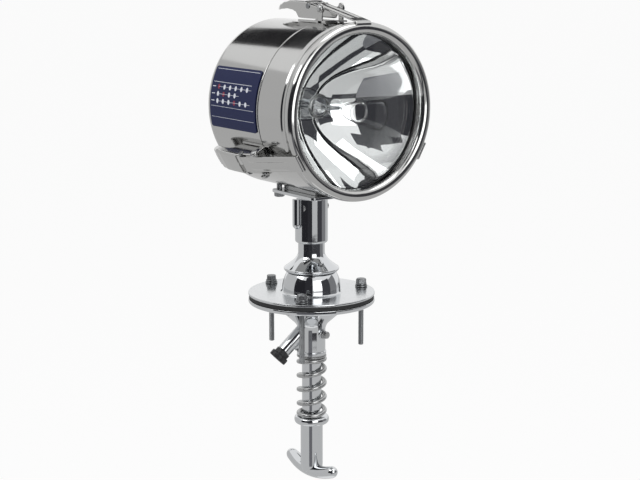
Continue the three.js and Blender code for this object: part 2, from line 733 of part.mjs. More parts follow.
// The bar is a crescent: thick under the stem, drawn in and lifted towards its round ends
const barSides = shaftSides / 2;
const halfSpan = handleSpan / 2;
function barRing(along, scale) {
  const share = along / halfSpan;
  const width = handleMidWidth + (handleBarWidth - handleMidWidth) * Math.min(share ** 2, 1);
  return Array.from({ length: barSides }, (_, k) => {
    const angle = (2 * Math.PI * k) / barSides;
    return new THREE.Vector3(
      (width / 2) * scale * Math.cos(angle),
      along,
      stemFoot + handleRise * share ** 2 + (handleBarHeight / 2) * scale * Math.sin(angle),
    );
  });
}
const barEnd = (way) => Array.from({ length: handleEndSteps }, (_, i) => {
  const angle = (quarter * (i + 1)) / (handleEndSteps + 1 / 2);
  return barRing(way * (halfSpan + (handleBarWidth / 2) * Math.sin(angle)), Math.cos(angle));
});
const barMiddle = Array.from({ length: handleSteps + 1 }, (_, i) => barRing(handleSpan * (i / handleSteps - 1 / 2), 1));
const teeBar = loft([...barEnd(-1).reverse(), ...barMiddle, ...barEnd(1)]);
const stemCore = bar(rodRadius + seat * 2, stemFoot, rodFoot - seat);
const tee = revolve(stemProfile, shaftSides).add(stemCore).add(teeBar)
  .subtract(handleBore).subtract(bar(rodRadius + seat, rodFoot - seat, collarTop + overrun));
place(handle, 'tee_handle', tee, polished);
const handlePin = aboutX(bar(handlePinRadius, rodBore + seat, stemRadius - seat, pinSides), -quarter)
  .translate([0, 0, handlePinZ]);
place(handle, 'handle_grub_screw', handlePin, darkSteel);

// Return spring: one wire, wound right-handed, with its end turns laid flat
const coilDrop = springLength - 2 * springWireRadius - 2 * seat;
const activeTurns = coilDrop / springPitch;
const coilTurns = activeTurns + 2 * springDeadTurns;
const coilSteps = Math.round(coilTurns * springStepsPerTurn);
const coilTop = springTop - springWireRadius - seat;
const coilPhase = THREE.MathUtils.degToRad(78);
function coilPoint(step) {
  const turns = (coilTurns * step) / coilSteps;
  const active = THREE.MathUtils.clamp(turns - springDeadTurns, 0, activeTurns);
  const angle = coilPhase - 2 * Math.PI * turns;
  return new THREE.Vector3(
    springMeanRadius * Math.cos(angle),
    springMeanRadius * Math.sin(angle),
    coilTop - springPitch * active,
  );
}
const coilPath = Array.from({ length: coilSteps + 1 }, (_, i) => coilPoint(i));
function coilRing(i) {
  const before = coilPath[Math.max(i - 1, 0)];
  const after = coilPath[Math.min(i + 1, coilSteps)];
  const along = after.clone().sub(before).normalize();
  const out = new THREE.Vector3(coilPath[i].x, coilPath[i].y, 0).normalize();
  const across = along.clone().cross(out).normalize();
  return Array.from({ length: springSides }, (_, k) => {
    const angle = (2 * Math.PI * k) / springSides;
    return coilPath[i].clone()
      .addScaledVector(out, springWireRadius * Math.cos(angle))
      .addScaledVector(across, springWireRadius * Math.sin(angle));
  });
}
// The least gap between two turns, measured on points along the wire
function leastCoilGap() {
  let least = Infinity;
  for (let i = 0; i <= coilSteps; i += 1) {
    for (let j = i + springStepsPerTurn / 2; j <= coilSteps; j += 1) {
      least = Math.min(least, coilPath[i].distanceTo(coilPath[j]) - 2 * springWireRadius);
    }
  }
  return least;
}
console.log(`return spring: least gap to itself ${leastCoilGap().toFixed(2)} mm`);
place(handle, 'return_spring', loft(coilPath.map((_, i) => coilRing(i))), satin);

// The lamp drum is drawn with the beam along its own +Z and up along its own +Y
const head = new THREE.Group();
const drumZ = saddleFoot + saddleThickness + padHeight + potRadius;
head.position.set(0, 0, drumZ);
head.rotation.x = quarter;
turntable.add(head);

const potInner = potRadius - potWall;
const rearCurve = (radius, back) => arc(radius - potRearCurve, -potRear, back, -quarter, 0);
const pot = revolve([
  [0, -potRear - potRearCurve],
  ...rearCurve(potRadius, potRearCurve),
  [potRadius, seamAt],
  [potInner, seamAt],
  ...rearCurve(potRadius, potRearCurve - potWall).reverse(),
  [0, -potRear - potRearCurve + potWall],
], drumSides);
const saddleMid = saddleRear - saddleLength / 2; // behind the shaft axis
const boltX = saddleWidth / 2 - saddleBoltInset;
const boltY = saddleLength / 2 - saddleBoltInset;
const saddleBolts = [[-boltX, -saddleMid - boltY], [boltX, -saddleMid + boltY]]; // across, and forward
function saddleHoles(shape, radius) {
  let cut = shape;
  for (const [x, forward] of saddleBolts) {
    cut = cut.subtract(aboutX(bar(radius, 0, potRadius * 2, pinSides), quarter).translate([x, 0, forward]));
  }
  return cut;
}
place(head, 'rear_pot', saddleHoles(pot, boltHoleRadius), polished);

const bandInner = bandRadius - bandWall;
const bandRear = seamAt + seat * 2 + seamGasket;
place(head, 'seam_gasket', revolve([
  [potInner, seamAt + seat],
  [potRadius, seamAt + seat],
  [potRadius, seamAt + seat + seamGasket],
  [potInner, seamAt + seat + seamGasket],
], drumSides), rubber);
const beadFront = bandFront + beadDepth;
const beadMid = bandFront + beadDepth / 2;
const beadRise = beadFront - beadMid;
const beadWide = beadRadius - lensOpening;
const beadCurve = Array.from({ length: arcSteps * 2 }, (_, i) => {
  const angle = beadStart + ((Math.PI - beadStart) * i) / (arcSteps * 2 - 1);
  return [lensOpening + beadWide / 2 + (beadWide / 2) * Math.cos(angle), beadMid + beadRise * Math.sin(angle)];
});
place(head, 'front_band', revolve([
  [bandInner, bandRear],
  [bandRadius, bandRear],
  [bandRadius, bandFront],
  [bandRadius - beadNeck, bandFront + beadNeck],
  ...beadCurve,
  [lensOpening, bandFront + beadLip],
  [bandInner, bandFront + beadLip],
], drumSides), polished);

// Sealed lamp: parabolic reflector with its neck, lens, filament and shield
const lampFace = bandFront + beadLip - seat * 2 - seamGasket;
const bowlRim = lampRadius - lampRim;
const bowlDepth = bowlRim ** 2 / (4 * focalLength);
const bowlMouth = lampFace - lensWall - seat;
const bowlVertex = bowlMouth - bowlDepth;
const bowlAt = (radius) => bowlVertex + radius ** 2 / (4 * focalLength);
const bowlInside = Array.from({ length: bowlSteps + 1 }, (_, i) => {
  const radius = bowlRim * (1 - i / bowlSteps);
  return [radius, bowlAt(radius)];
});
const bowlOutside = Array.from({ length: shellSteps }, (_, i) => {
  const radius = lampNeckRadius + (bowlRim - lampNeckRadius) * ((i + 1) / shellSteps);
  return [radius + glassWall * (radius / lampRadius), bowlAt(radius) - glassWall];
});
const reflector = revolve([
  ...bowlInside.reverse(),
  [lampRadius, bowlMouth],
  [lampRadius, bowlMouth - lampRimDepth],
  ...bowlOutside.reverse(),
  [lampNeckRadius, bowlAt(lampNeckRadius) - glassWall],
  [lampNeckRadius, bowlVertex - lampNeckLength],
  [0, bowlVertex - lampNeckLength],
], flangeSides);
const postHole = (x) => bar(postRadius + seat, bowlVertex - lampNeckLength - overrun, bowlMouth, pinSides)
  .translate([x, 0, 0]);
place(head, 'lamp_reflector', reflector.subtract(postHole(-postSpread)).subtract(postHole(postSpread)), mirrorGlass);

const crownRadius = (lampRadius ** 2 + lensCrown ** 2) / (2 * lensCrown);
const lensCurve = (foot) => Array.from({ length: shellSteps + 1 }, (_, i) => {
  const radius = bowlRim * (1 - i / shellSteps);
  return [radius, foot + Math.sqrt(crownRadius ** 2 - radius ** 2) - Math.sqrt(crownRadius ** 2 - bowlRim ** 2)];
});
const lensFoot = lampFace - lensWall;
const emblem = revolve([
  [0, lensFoot + lensWall],
  [emblemRadius, lensFoot + lensWall],
  [emblemRadius, lampFace + lensCrown - seat + emblemHeight / 2],
  [emblemRadius - emblemHeight * 2, lampFace + lensCrown + emblemHeight / 2],
  [0, lampFace + lensCrown + emblemHeight / 2],
], shaftSides);
const lens = revolve([
  ...lensCurve(lensFoot).reverse(),
  [lampRadius, lensFoot],
  [lampRadius, lampFace],
  ...lensCurve(lampFace),
], flangeSides);
place(head, 'lamp_lens', lens.add(emblem), clearGlass);

place(head, 'lens_gasket', revolve([
  [lensOpening, lampFace + seat],
  [lampRadius, lampFace + seat],
  [lampRadius, lampFace + seat + seamGasket],
  [lensOpening, lampFace + seat + seamGasket],
], drumSides), rubber);
const ringFront = bowlMouth - lampRimDepth - seat;
place(head, 'lamp_ring', revolve([
  [bandInner - seat - ringWidth, ringFront - ringDepth],
  [bandInner - seat, ringFront - ringDepth],
  [bandInner - seat, ringFront],
  [bandInner - seat - ringWidth, ringFront],
], drumSides), satin);

// The filament hangs between its two posts, and each post ends on a terminal blade
const focusAt = bowlVertex + focalLength;
const terminalFoot = bowlVertex - lampNeckLength - terminalLength;
const postFoot = terminalFoot + terminalLength - seat * 2;
let filament = crossBar(filamentRadius, -filamentLength / 2, filamentLength / 2, 0, focusAt + seat)
  .add(block(postSpread * 2 + postRadius * 2, postRadius, postRadius, 0, 0, focusAt));
for (const [i, way] of [-1, 1].entries()) {
  const post = bar(postRadius, postFoot, focusAt, pinSides)
    .add(bar(postRadius * 2, postFoot - seat * 2, postFoot + seat, pinSides));
  filament = filament.add(post.translate([way * postSpread, 0, 0]));
  const blade = block(postRadius * 4, postRadius, terminalLength - seat * 2, way * postSpread, 0,
    terminalFoot + terminalLength / 2 - seat - seat * 2);
  place(head, `lamp_terminal_${i + 1}`, blade, bronze);
}
place(head, 'filament', filament, tungsten);
const shieldFoot = focusAt + filamentRadius + seat * 2;
const shieldDomeShare = 0.7; // rise of the shield, as a share of its radius
const shield = revolve([
  [0, shieldFoot + shieldRadius / 3],
  [shieldRadius - glassWall / 2, shieldFoot],
  [shieldRadius, shieldFoot],
  [shieldRadius - glassWall / 2, shieldFoot + shieldRadius / 2],
  [0, shieldFoot + shieldRadius * shieldDomeShare],
], shaftSides);
place(head, 'filament_shield', shield, mirrorGlass);

// Saddle: plate with its tongue, a pad under the drum, and two bolts with nuts inside the pot
const drumToPivot = drumZ - pivotZ;
const localSaddle = -(drumZ - saddleFoot); // underside of the plate, in the drum's own frame
const localPlate = localSaddle + saddleThickness;
const halfWidth = saddleWidth / 2;
const halfLength = saddleLength / 2;
const plateOutline = new THREE.Shape([
  ...arc(halfWidth - saddleCorner, halfLength - saddleCorner, saddleCorner, 0, quarter, 3),
  ...arc(saddleCorner - halfWidth, halfLength - saddleCorner, saddleCorner, quarter, 2 * quarter, 3),
  ...arc(saddleCorner - halfWidth, saddleCorner - halfLength, saddleCorner, 2 * quarter, 3 * quarter, 3),
  ...arc(halfWidth - saddleCorner, saddleCorner - halfLength, saddleCorner, 3 * quarter, 4 * quarter, 3),
].map(([x, y]) => new THREE.Vector2(x, y)));
const saddlePlate = solid(new THREE.ExtrudeGeometry(plateOutline, { depth: saddleThickness, bevelEnabled: false })
  .rotateX(quarter).translate(0, localPlate, -saddleMid));
// The tongue is outlined in [forward, up] about the pivot
const tongueRear = linkBehind + pivotForward + linkPinRadius + slotPlay + slotReach + tongueWall;
const tongueFront = pivotForward;
// Its nose is drawn in at the top, to stay inside the neck's bore when the head tips forward
const boreReach = Math.sqrt(neckBore ** 2 - (tongueThickness / 2) ** 2) - pivotForward - slack;
const tongueLean = (up) => (boreReach - up * Math.sin(tiltAngle)) / Math.cos(tiltAngle);
const noseFoot = (boreReach - tongueFront * Math.cos(tiltAngle)) / Math.sin(tiltAngle);
const tongueTopShare = 0.75; // share of the tongue behind the eye that stays at full height
const tongueOutline = [
  [tongueLean(saddleRise), saddleRise + seat],
  [-tongueFront, saddleRise + seat],
  [-tongueRear * tongueTopShare, linkEyeRadius + tongueWall],
  [-tongueRear, linkEyeRadius],
  [-tongueRear, -linkEyeRadius],
  [-hubRadius, -linkEyeRadius],
  ...arc(0, 0, hubRadius, -quarter * 1.4, 0, arcSteps),
  [tongueFront, noseFoot],
];
const intoHead = (outline) => outline.map(([forward, up]) => [forward + pivotForward, up - drumToPivot]);
// A plate across the drum, centred on X, from [forward, up] points in the drum's own frame
function headSlab(outline, width) {
  const shape = new THREE.Shape(outline.map(([forward, up]) => new THREE.Vector2(forward, up)));
  const geometry = new THREE.ExtrudeGeometry(shape, { depth: width, bevelEnabled: false });
  return solid(geometry.translate(0, 0, -width / 2).rotateY(-quarter));
}
const tongue = headSlab(intoHead(tongueOutline), tongueThickness);
const headCross = (radius, width, forward, up, sides = pinSides) => solid(
  new THREE.CylinderGeometry(radius, radius, width, sides).rotateZ(quarter).translate(0, up, forward),
);
const tongueHole = headCross(clearOf(pivotPinRadius, shaftSides), saddleWidth, pivotForward, -drumToPivot, shaftSides);
const slotRadius = linkPinRadius + slotPlay;
const linkSlot = headCross(slotRadius, saddleWidth, -linkBehind, -drumToPivot)
  .add(headCross(slotRadius, saddleWidth, -linkBehind - slotReach, -drumToPivot));
const saddle = saddleHoles(saddlePlate.add(tongue).subtract(tongueHole).subtract(linkSlot), boltHoleRadius);
place(head, 'saddle_plate', saddle, polished);
const padFoot = localPlate + seat;
const pad = block(padWidth, potRadius / 2, padLength, 0, padFoot + potRadius / 4, -saddleMid)
  .subtract(bar(potRadius + seat, -potRear * 2, potRear * 2, drumSides));
place(head, 'saddle_pad', pad.intersect(block(padWidth * 2, potRadius / 3, padLength * 2, 0, padFoot + potRadius / 6,
  -saddleMid)), rubber);
const upright = (shape, x, forward) => aboutX(shape, -quarter).translate([x, 0, forward]);
const boltRise = Math.sqrt(potInner ** 2 - boltX ** 2);
const nutSeat = -boltRise + m6HeadRadius * Math.tan(Math.asin(boltX / potInner)) + seat * 2;
for (const [i, [x, forward]] of saddleBolts.entries()) {
  const headHeight = m6HeadHeight + seat;
  const boltTop = nutSeat + nutHeight + slack;
  const bolt = bar(m6HeadRadius, localSaddle - seat - headHeight, localSaddle - seat, hexSides)
    .add(bar(m6Radius, localSaddle - headHeight, boltTop, pinSides));
  place(head, `saddle_bolt_${i + 1}`, upright(bolt, x, forward), darkSteel);
  const nut = bar(m6HeadRadius, nutSeat, nutSeat + nutHeight, hexSides)
    .subtract(bar(m6Radius + seat, nutSeat - overrun, nutSeat + nutHeight + overrun, pinSides));
  place(head, `saddle_nut_${i + 1}`, upright(nut, x, forward), darkSteel);
}

// Rating plate, curved to the pot
const [plateLow, plateHigh] = plateTurnShares.map((share) => Math.PI * (1 - share));
const plateSector = new THREE.Shape([
  ...arc(0, 0, potRadius + seat, plateLow, plateHigh, arcSteps * 2),
  ...arc(0, 0, potRadius + seat + plateThickness, plateHigh, plateLow, arcSteps * 2),
].map(([x, y]) => new THREE.Vector2(x, y)));
const plateRear = -potRear + slack;
place(head, 'rating_plate', solid(new THREE.ExtrudeGeometry(plateSector, { depth: plateLength, bevelEnabled: false })
  .translate(0, 0, plateRear)), plateBlue);

// One toggle latch, drawn at the top of the drum in [forward, up] points above the pot's surface
const strapTopLine = (forward) => strapTopAt - strapFallShare * (forward - strapPinAt);
const liftOff = (outline) => outline.map(([forward, up]) => [forward, up + potRadius]);
const cheekOuter = leverWidth / 2;
const cheekInner = cheekOuter - sheetThickness;
const leverOutline = [
  [-leverTail, leverGrip],
  [-leverTail - seat, leverTipTop],
  [-leverTail * 0.62, leverShoulderTop],
  [-leverTail * 0.25, leverTop],
  [leverWebEnd + sheetThickness * 2, leverTop],
  [strapPinAt + strapPinRadius * 2, strapPinUp + strapPinRadius],
  [latchPivotAt - latchPivotRadius * 2, latchPivotUp + latchPivotRadius * 0.9],
  ...arc(latchPivotAt, latchPivotUp, latchPivotRadius * 1.7, quarter, -quarter, arcSteps),
  [latchPivotAt - latchPivotRadius * 2, leverFoot],
  [-leverTail * 0.1, leverFoot],
  [-leverTail * 0.24, leverGrip],
  [-leverTail * 0.55, leverGrip + sheetThickness * 2],
  [-leverTail * 0.82, leverGrip + sheetThickness],
];
const leverBody = headSlab(liftOff(leverOutline), leverWidth);
// What is under the web, between the cheeks
const leverHollow = headSlab(liftOff([
  [-leverTail * 0.72, leverGrip - overrun],
  [-leverTail * 0.68, leverTipTop + sheetThickness],
  [-leverTail * 0.6, leverShoulderTop - sheetThickness],
  [-leverTail * 0.25, leverTop - sheetThickness],
  [leverWebEnd, leverTop - sheetThickness],
  [leverWebEnd, leverTop + overrun],
  [latchPivotAt + earWidth, leverTop + overrun],
  [latchPivotAt + earWidth, -overrun],
  [-leverTail * 0.72, -overrun],
]), cheekInner * 2);
const pivotHole = headCross(clearOf(latchPivotRadius, pinSides), leverWidth * 2, latchPivotAt, potRadius + latchPivotUp);
const strapPinHole = headCross(clearOf(strapPinRadius, pinSides), leverWidth * 2, strapPinAt, potRadius + strapPinUp);
const lever = leverBody.subtract(leverHollow).subtract(pivotHole).subtract(strapPinHole);

const strapUnder = (forward) => strapTopLine(forward) - strapThickness;
const strapCurl = strapPinRadius + strapThickness + shaftFit;
const hookFront = beadFront - hookSet;
const hookTop = strapTopLine(hookFront);
const strapOutline = [
  ...arc(strapPinAt, strapPinUp, strapCurl, quarter, 3 * quarter, arcSteps),
  [strapPinAt + strapCurl, strapPinUp - strapCurl / 2],
  [strapPinAt + strapCurl * 1.6, strapUnder(strapPinAt + strapCurl * 1.6)],
  [hookFront - slack, strapUnder(hookFront - slack)],
  [hookFront, hookTop - hookDrop],
  [hookFront + strapThickness, hookTop - hookDrop],
  [hookFront + strapThickness, hookTop - slack / 2],
  [hookFront - slack, strapTopLine(hookFront - slack)],
];
const strapRib = (x) => headSlab(liftOff([
  [strapPinAt + strapCurl * 3, strapUnder(strapPinAt + strapCurl * 3) + seat],
  [strapPinAt + strapCurl * 3.4, strapTopLine(strapPinAt + strapCurl * 3.4) + slack],
  [bandFront - strapCurl, strapTopLine(bandFront - strapCurl) + slack],
  [bandFront - strapCurl / 2, strapUnder(bandFront - strapCurl / 2) + seat],
]), strapThickness * 1.6).translate([x, 0, 0]);
const strapPlate = headSlab(liftOff(strapOutline), strapWidth);
const strap = strapPlate.add(strapRib(strapWidth / 4)).add(strapRib(-strapWidth / 4)).subtract(strapPinHole);

const earInner = cheekOuter + seat;
const earOuter = earInner + earThickness;
const baseOutline = [
  [-latchBaseRear, -overrun],
  [-latchBaseRear, latchBaseThickness],
  [seamAt - slack, latchBaseThickness],
  [seamAt - slack, -overrun],
];
const earOutline = [
  [latchPivotAt - earWidth / 2, -overrun],
  ...arc(latchPivotAt, earTop - earWidth / 2, earWidth / 2, 2 * quarter, 0, arcSteps),
  [latchPivotAt + earWidth / 2, -overrun],
];
const ear = (way) => headSlab(liftOff(earOutline), earThickness).translate([way * (earInner + earThickness / 2), 0, 0]);
const stubLength = earOuter - cheekInner + seat;
const stub = (way) => headCross(latchPivotRadius, stubLength, latchPivotAt, potRadius + latchPivotUp)
  .translate([way * (earOuter + seat * 2 - stubLength / 2), 0, 0]);
const drumCore = bar(potRadius + seat, -potRear * 2, potRear * 2, drumSides);
const latchBase = headSlab(liftOff(baseOutline), earOuter * 2).add(ear(1)).add(ear(-1)).add(stub(1)).add(stub(-1))
  .subtract(drumCore);
const strapPin = headCross(strapPinRadius, leverWidth - seat, strapPinAt, potRadius + strapPinUp);
for (let i = 0; i < latchCount; i += 1) {
  const station = new THREE.Group();
  station.rotation.z = (-2 * Math.PI * i) / latchCount;
  head.add(station);
  place(station, `latch_base_${i + 1}`, latchBase, satin);
  place(station, `latch_lever_${i + 1}`, lever, polished);
  place(station, `latch_strap_${i + 1}`, strap, polished);
  place(station, `strap_pin_${i + 1}`, strapPin, darkSteel);
}

export default group;
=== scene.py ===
import math

import bmesh
import bpy
from bpy.props import FloatProperty, FloatVectorProperty, IntProperty, PointerProperty
from mathutils import Matrix, Vector


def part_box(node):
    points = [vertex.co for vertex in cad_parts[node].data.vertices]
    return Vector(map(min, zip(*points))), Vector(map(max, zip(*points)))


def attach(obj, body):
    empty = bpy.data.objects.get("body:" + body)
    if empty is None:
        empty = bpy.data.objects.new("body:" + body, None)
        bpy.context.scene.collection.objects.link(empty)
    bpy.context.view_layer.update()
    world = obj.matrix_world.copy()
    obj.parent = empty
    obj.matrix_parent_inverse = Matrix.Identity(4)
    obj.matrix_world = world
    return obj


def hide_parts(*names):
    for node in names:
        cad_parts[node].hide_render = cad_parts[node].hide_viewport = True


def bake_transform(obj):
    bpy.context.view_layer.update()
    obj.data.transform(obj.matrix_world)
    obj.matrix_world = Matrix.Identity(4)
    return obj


bl_info = {
    "name": "Cabin-roof searchlight",
    "version": (1, 0, 0),
    "blender": (4, 5, 0),
    "location": "3D View > Sidebar > Searchlight",
    "description": "Dresses a roof searchlight: drum, sealed lamp, latches, neck, roof flange and tee handle",
    "category": "Add Mesh",
}

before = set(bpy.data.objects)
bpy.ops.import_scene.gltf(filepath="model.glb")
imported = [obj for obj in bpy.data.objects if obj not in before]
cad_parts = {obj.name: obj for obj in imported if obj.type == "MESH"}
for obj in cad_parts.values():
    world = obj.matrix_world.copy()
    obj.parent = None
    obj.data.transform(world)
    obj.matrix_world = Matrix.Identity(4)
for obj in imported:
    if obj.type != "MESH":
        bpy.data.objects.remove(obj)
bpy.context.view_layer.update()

MM = 0.001  # all sizes below are in millimetres and each mesh is made in metres
TURN = 2 * math.pi
LOW, HIGH = 0, 1


def corner(node, end, axis):
    """One coordinate of a CAD node's box in millimetres, at its LOW or HIGH end."""
    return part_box(node)[end]["xyz".index(axis)] / MM


def middle(node, axis):
    return (corner(node, LOW, axis) + corner(node, HIGH, axis)) / 2


# Fits and sizes that several pieces share
SEAT = 0.3  # gap between two pieces that rest on each other
ON_AXIS = 1e-6  # a point this close to the axis of a turned piece is on it
FLANGE_THICKNESS = 2.6
DOME_HEIGHT = 22
BOLT_CIRCLE = 59.2
NECK_HEIGHT = 49.7
PIVOT_FORWARD = 6  # tilt pin, ahead of the shaft axis
PIN_RADIUS = 4
SADDLE_RISE = 13.5  # underside of the saddle above the pin
TILT = math.radians(20)
SHAFT_BORE = 9.7
SLEEVE_LIP = 0.9
LAMP_RADIUS = 88

# M6 hexagons, which the smaller screws follow by shares
HEX_RADIUS = 5.77
HEAD_HEIGHT = 4.2
NUT_HEIGHT = 4.8

# Screws at the sleeve, below the roof
SCREW_HEIGHT = -40.4
EARTH_HEIGHT = -58.4

# The neck and its rib are drawn up to here, and then brought down to the neck's sloping top
RAISED = 200

# Gland tube, drawn along its own axis
GLAND_ANGLE = math.radians(45)
GLAND_DEPTH = 34.7
GLAND_RADIUS = 7.7
GLAND_LENGTH = 34.6
GLAND_COLLAR = 34.9
GLAND_NUT_FOOT = 39.9
GLAND_NUT_TOP = 46.5
GLAND_HOLE = 5.75

# Heights that the frame gives
DRUM_Z = middle("seam_gasket", "z")
FLANGE_TOP = corner("roof_washer_1", LOW, "z") - SEAT
DOME_TOP = FLANGE_TOP + DOME_HEIGHT
NECK_FOOT = corner("neck_casting", LOW, "z")
NECK_TOP = NECK_FOOT + NECK_HEIGHT
PIVOT_Z = middle("tilt_pin", "z")
SLEEVE_END = corner("lower_casting", LOW, "z")
SADDLE_FOOT = PIVOT_Z + SADDLE_RISE

# Where the pieces stand round the shaft, from +X
BASE_TURN = -16
BOLT_TURNS = [math.radians(BASE_TURN + 120 * i) for i in range(3)]
GLAND_TURN = math.radians(BASE_TURN + 180)
SCREW_TURN = math.radians(BASE_TURN - 60)
EARTH_TURN = math.radians(142)

# The drum's own frame: across, up and forward, with the beam along forward
DRUM = Matrix(((1, 0, 0, 0), (0, 0, -1, 0), (0, 1, 0, DRUM_Z), (0, 0, 0, 1)))

# Turns of a part that is drawn upwards: to lie along +X, and to lie so on the tilt pin's axis
LAY = Matrix.Rotation(math.pi / 2, 4, "Y")
AT_PIVOT = Matrix.Translation((0, -PIVOT_FORWARD, PIVOT_Z)) @ LAY


# Sizes and colours
def linear(shade):
    """An sRGB hex colour as the linear RGBA that a shader takes."""
    parts = [int(shade[i : i + 2], 16) / 255 for i in (1, 3, 5)]
    return (*[c / 12.92 if c <= 0.04045 else ((c + 0.055) / 1.055) ** 2.4 for c in parts], 1.0)


def length(name, description, default):
    return FloatProperty(
        name=name, description=description, default=default * MM, min=0, unit="LENGTH", precision=4)


def colour(name, description, default):
    return FloatVectorProperty(
        name=name, description=description, default=linear(default), subtype="COLOR", size=4, min=0, max=1)


class SearchlightSizes(bpy.types.PropertyGroup):
    """Sizes of the visible pieces"""

    segments: IntProperty(name="Round segments", description="Faces round a turned part", default=144, min=24)
    pot_radius: length("Pot radius", "Outside radius of the rear pot", 91)
    band_radius: length("Band radius", "Outside radius of the front band", 92)
    bead_radius: length("Bead radius", "Largest radius of the rolled bead", 93.6)
    lens_opening: length("Lens opening", "Radius of the opening in the front band", 80.8)
    flange_radius: length("Flange radius", "Radius of both roof flanges", 70)
    gasket_radius: length("Gasket radius", "Radius of the rubber roof gasket", 69.2)
    neck_radius: length("Neck radius", "Radius of the neck casting", 18.05)
    tube_radius: length("Tube radius", "Radius of the drive tube", 10.8)
    sleeve_radius: length("Sleeve radius", "Radius of the lower sleeve", 15.45)
    bolt_radius: length("Bolt radius", "Thread radius of the roof bolts", 3)
    thread_pitch: length("Thread pitch", "Distance between two threads of a roof bolt", 1)
    wire_radius: length("Spring wire", "Radius of the return spring's wire", 2.5)
    coil_radius: length("Spring radius", "Mean radius of the return spring", 14.5)
    handle_span: length("Handle span", "Length of the tee handle's bar between the centres of its ends", 73)
    lever_width: length("Lever width", "Width of a latch lever", 24.6)
    strap_width: length("Strap width", "Width of a latch strap", 19)
    sheet: length("Sheet", "Thickness of the pressed latch steel", 1.6)


class SearchlightColours(bpy.types.PropertyGroup):
    """Colours of the finishes"""

    stainless: colour("Stainless", "Polished stainless steel of the drum and latches", "#C2C2C1")
    chrome: colour("Chrome", "Chromium plate on the brass castings", "#D3D5D7")
    satin: colour("Satin steel", "Spring wire and latch rivets", "#B4B5B5")
    bolt: colour("Bolt steel", "Zinc-plated bolts", "#989A9C")
    rubber: colour("Rubber", "Gaskets and plug", "#1D1E1F")
    nylon: colour("Nylon", "Gland cap and thrust washer", "#202123")
    glass: colour("Glass", "Lens of the sealed lamp", "#FDFEFE")
    mirror: colour("Mirror", "Aluminised inside of the lamp", "#F4F5F5")
    plate: colour("Plate", "Blue ground of the rating plate", "#131D48")
    print_white: colour("White print", "Rules and dots on the rating plate", "#D9DCE6")
    print_red: colour("Red print", "Marked dots on the rating plate", "#8A2F44")
    bronze: colour("Bronze", "Bushes and lamp terminals", "#A9864F")
    tungsten: colour("Tungsten", "Filament and its posts", "#8C8F92")


def sizes():
    """The sizes as set in the panel, in millimetres, and the number of segments."""
    group = bpy.context.scene.searchlight_sizes
    values = {name: getattr(group, name) for name in group.__annotations__}
    return {name: value if name == "segments" else value / MM for name, value in values.items()}


def tint(name, share=1.0):
    """A finish's colour, made darker or paler by a share."""
    red, green, blue, alpha = getattr(bpy.context.scene.searchlight_colours, name)
    return (red * share, green * share, blue * share, alpha)


# Materials
def add_node(tree, kind, values=None, links=None, **settings):
    """Adds one node with its settings, its socket values and what feeds its sockets."""
    new = tree.nodes.new(kind)
    for key, value in settings.items():
        setattr(new, key, value)
    for key, value in (values or {}).items():
        new.inputs[key].default_value = value
    for key, source in (links or {}).items():
        tree.links.new(source, new.inputs[key])
    return new


def material_of(name, build):
    """The material of that name, made once."""
    found = bpy.data.materials.get(name)
    if found:
        return found
    material = bpy.data.materials.new(name)
    material.use_nodes = True
    tree = material.node_tree
    tree.nodes.clear()
    output = add_node(tree, "ShaderNodeOutputMaterial")
    tree.links.new(build(tree).outputs[0], output.inputs["Surface"])
    return material


def grain(tree, size_mm, detail, stretch=(1, 1, 1)):
    """Noise whose blobs are about size_mm across in the frame's own coordinates."""
    place = add_node(tree, "ShaderNodeTexCoord")
    scale = Vector(stretch) / (size_mm * MM)
    mapped = add_node(tree, "ShaderNodeMapping", {"Scale": scale}, {"Vector": place.outputs["Object"]})
    noise = add_node(
        tree, "ShaderNodeTexNoise", {"Scale": 1.0, "Detail": detail}, {"Vector": mapped.outputs[0]})
    return noise.outputs[0]


def finish(name, shade, gloss=None, blotch=(), relief=None, mottle=None, metal=True, **values):
    """A surface made of one stuff, under the common name of that stuff.

    gloss: lowest and highest roughness, which follow the blotches
    blotch: the blotches' size in mm and their detail
    relief: (size in mm, detail, and stretch if any), strength and depth in mm of the surface's waves or grain
    mottle: shares of the colour between which the blotches vary it
    """
    def build(tree):
        sockets = {"Metallic": 1.0 if metal else 0.0}
        sockets.update({key.replace("_", " "): value for key, value in values.items()})
        links = {}
        made = {}

        def noise(*kind):
            if kind not in made:
                made[kind] = grain(tree, *kind)
            return made[kind]

        if gloss:
            low, high = gloss
            # The middle of the noise's range covers nearly all of the surface
            rough = add_node(
                tree, "ShaderNodeMapRange", {"From Min": 0.3, "From Max": 0.7, "To Min": low, "To Max": high},
                {"Value": noise(*blotch)})
            links["Roughness"] = rough.outputs[0]
        if relief:
            waves, strength, depth = relief
            bump = add_node(
                tree, "ShaderNodeBump", {"Strength": strength, "Distance": depth * MM},
                {"Height": noise(*waves)})
            links["Normal"] = bump.outputs[0]
        if mottle:
            mix = add_node(
                tree, "ShaderNodeMix", {"A": tint(shade, mottle[0]), "B": tint(shade, mottle[1])},
                {"Factor": noise(*blotch)}, data_type="RGBA")
            links["Base Color"] = mix.outputs["Result"]
        else:
            sockets["Base Color"] = tint(shade)
        return add_node(tree, "ShaderNodeBsdfPrincipled", sockets, links)
    return material_of(name, build)


def polished_stainless():
    # Pressed stainless steel, mopped to a near mirror: edges in it are soft, and faint mop lines run round it
    mop_lines = (1.4, 3, (0.12, 1, 0.12))
    return finish("polished_stainless_sheet", "stainless", (0.09, 0.14), (34, 2), (mop_lines, 0.02, 0.03))


def bright_stainless():
    # Stainless pressings buffed brighter than the drum: the bead, levers and straps
    return finish("bright_stainless_pressing", "stainless", (0.07, 0.13), (22, 2), ((16, 1), 0.12, 0.3))


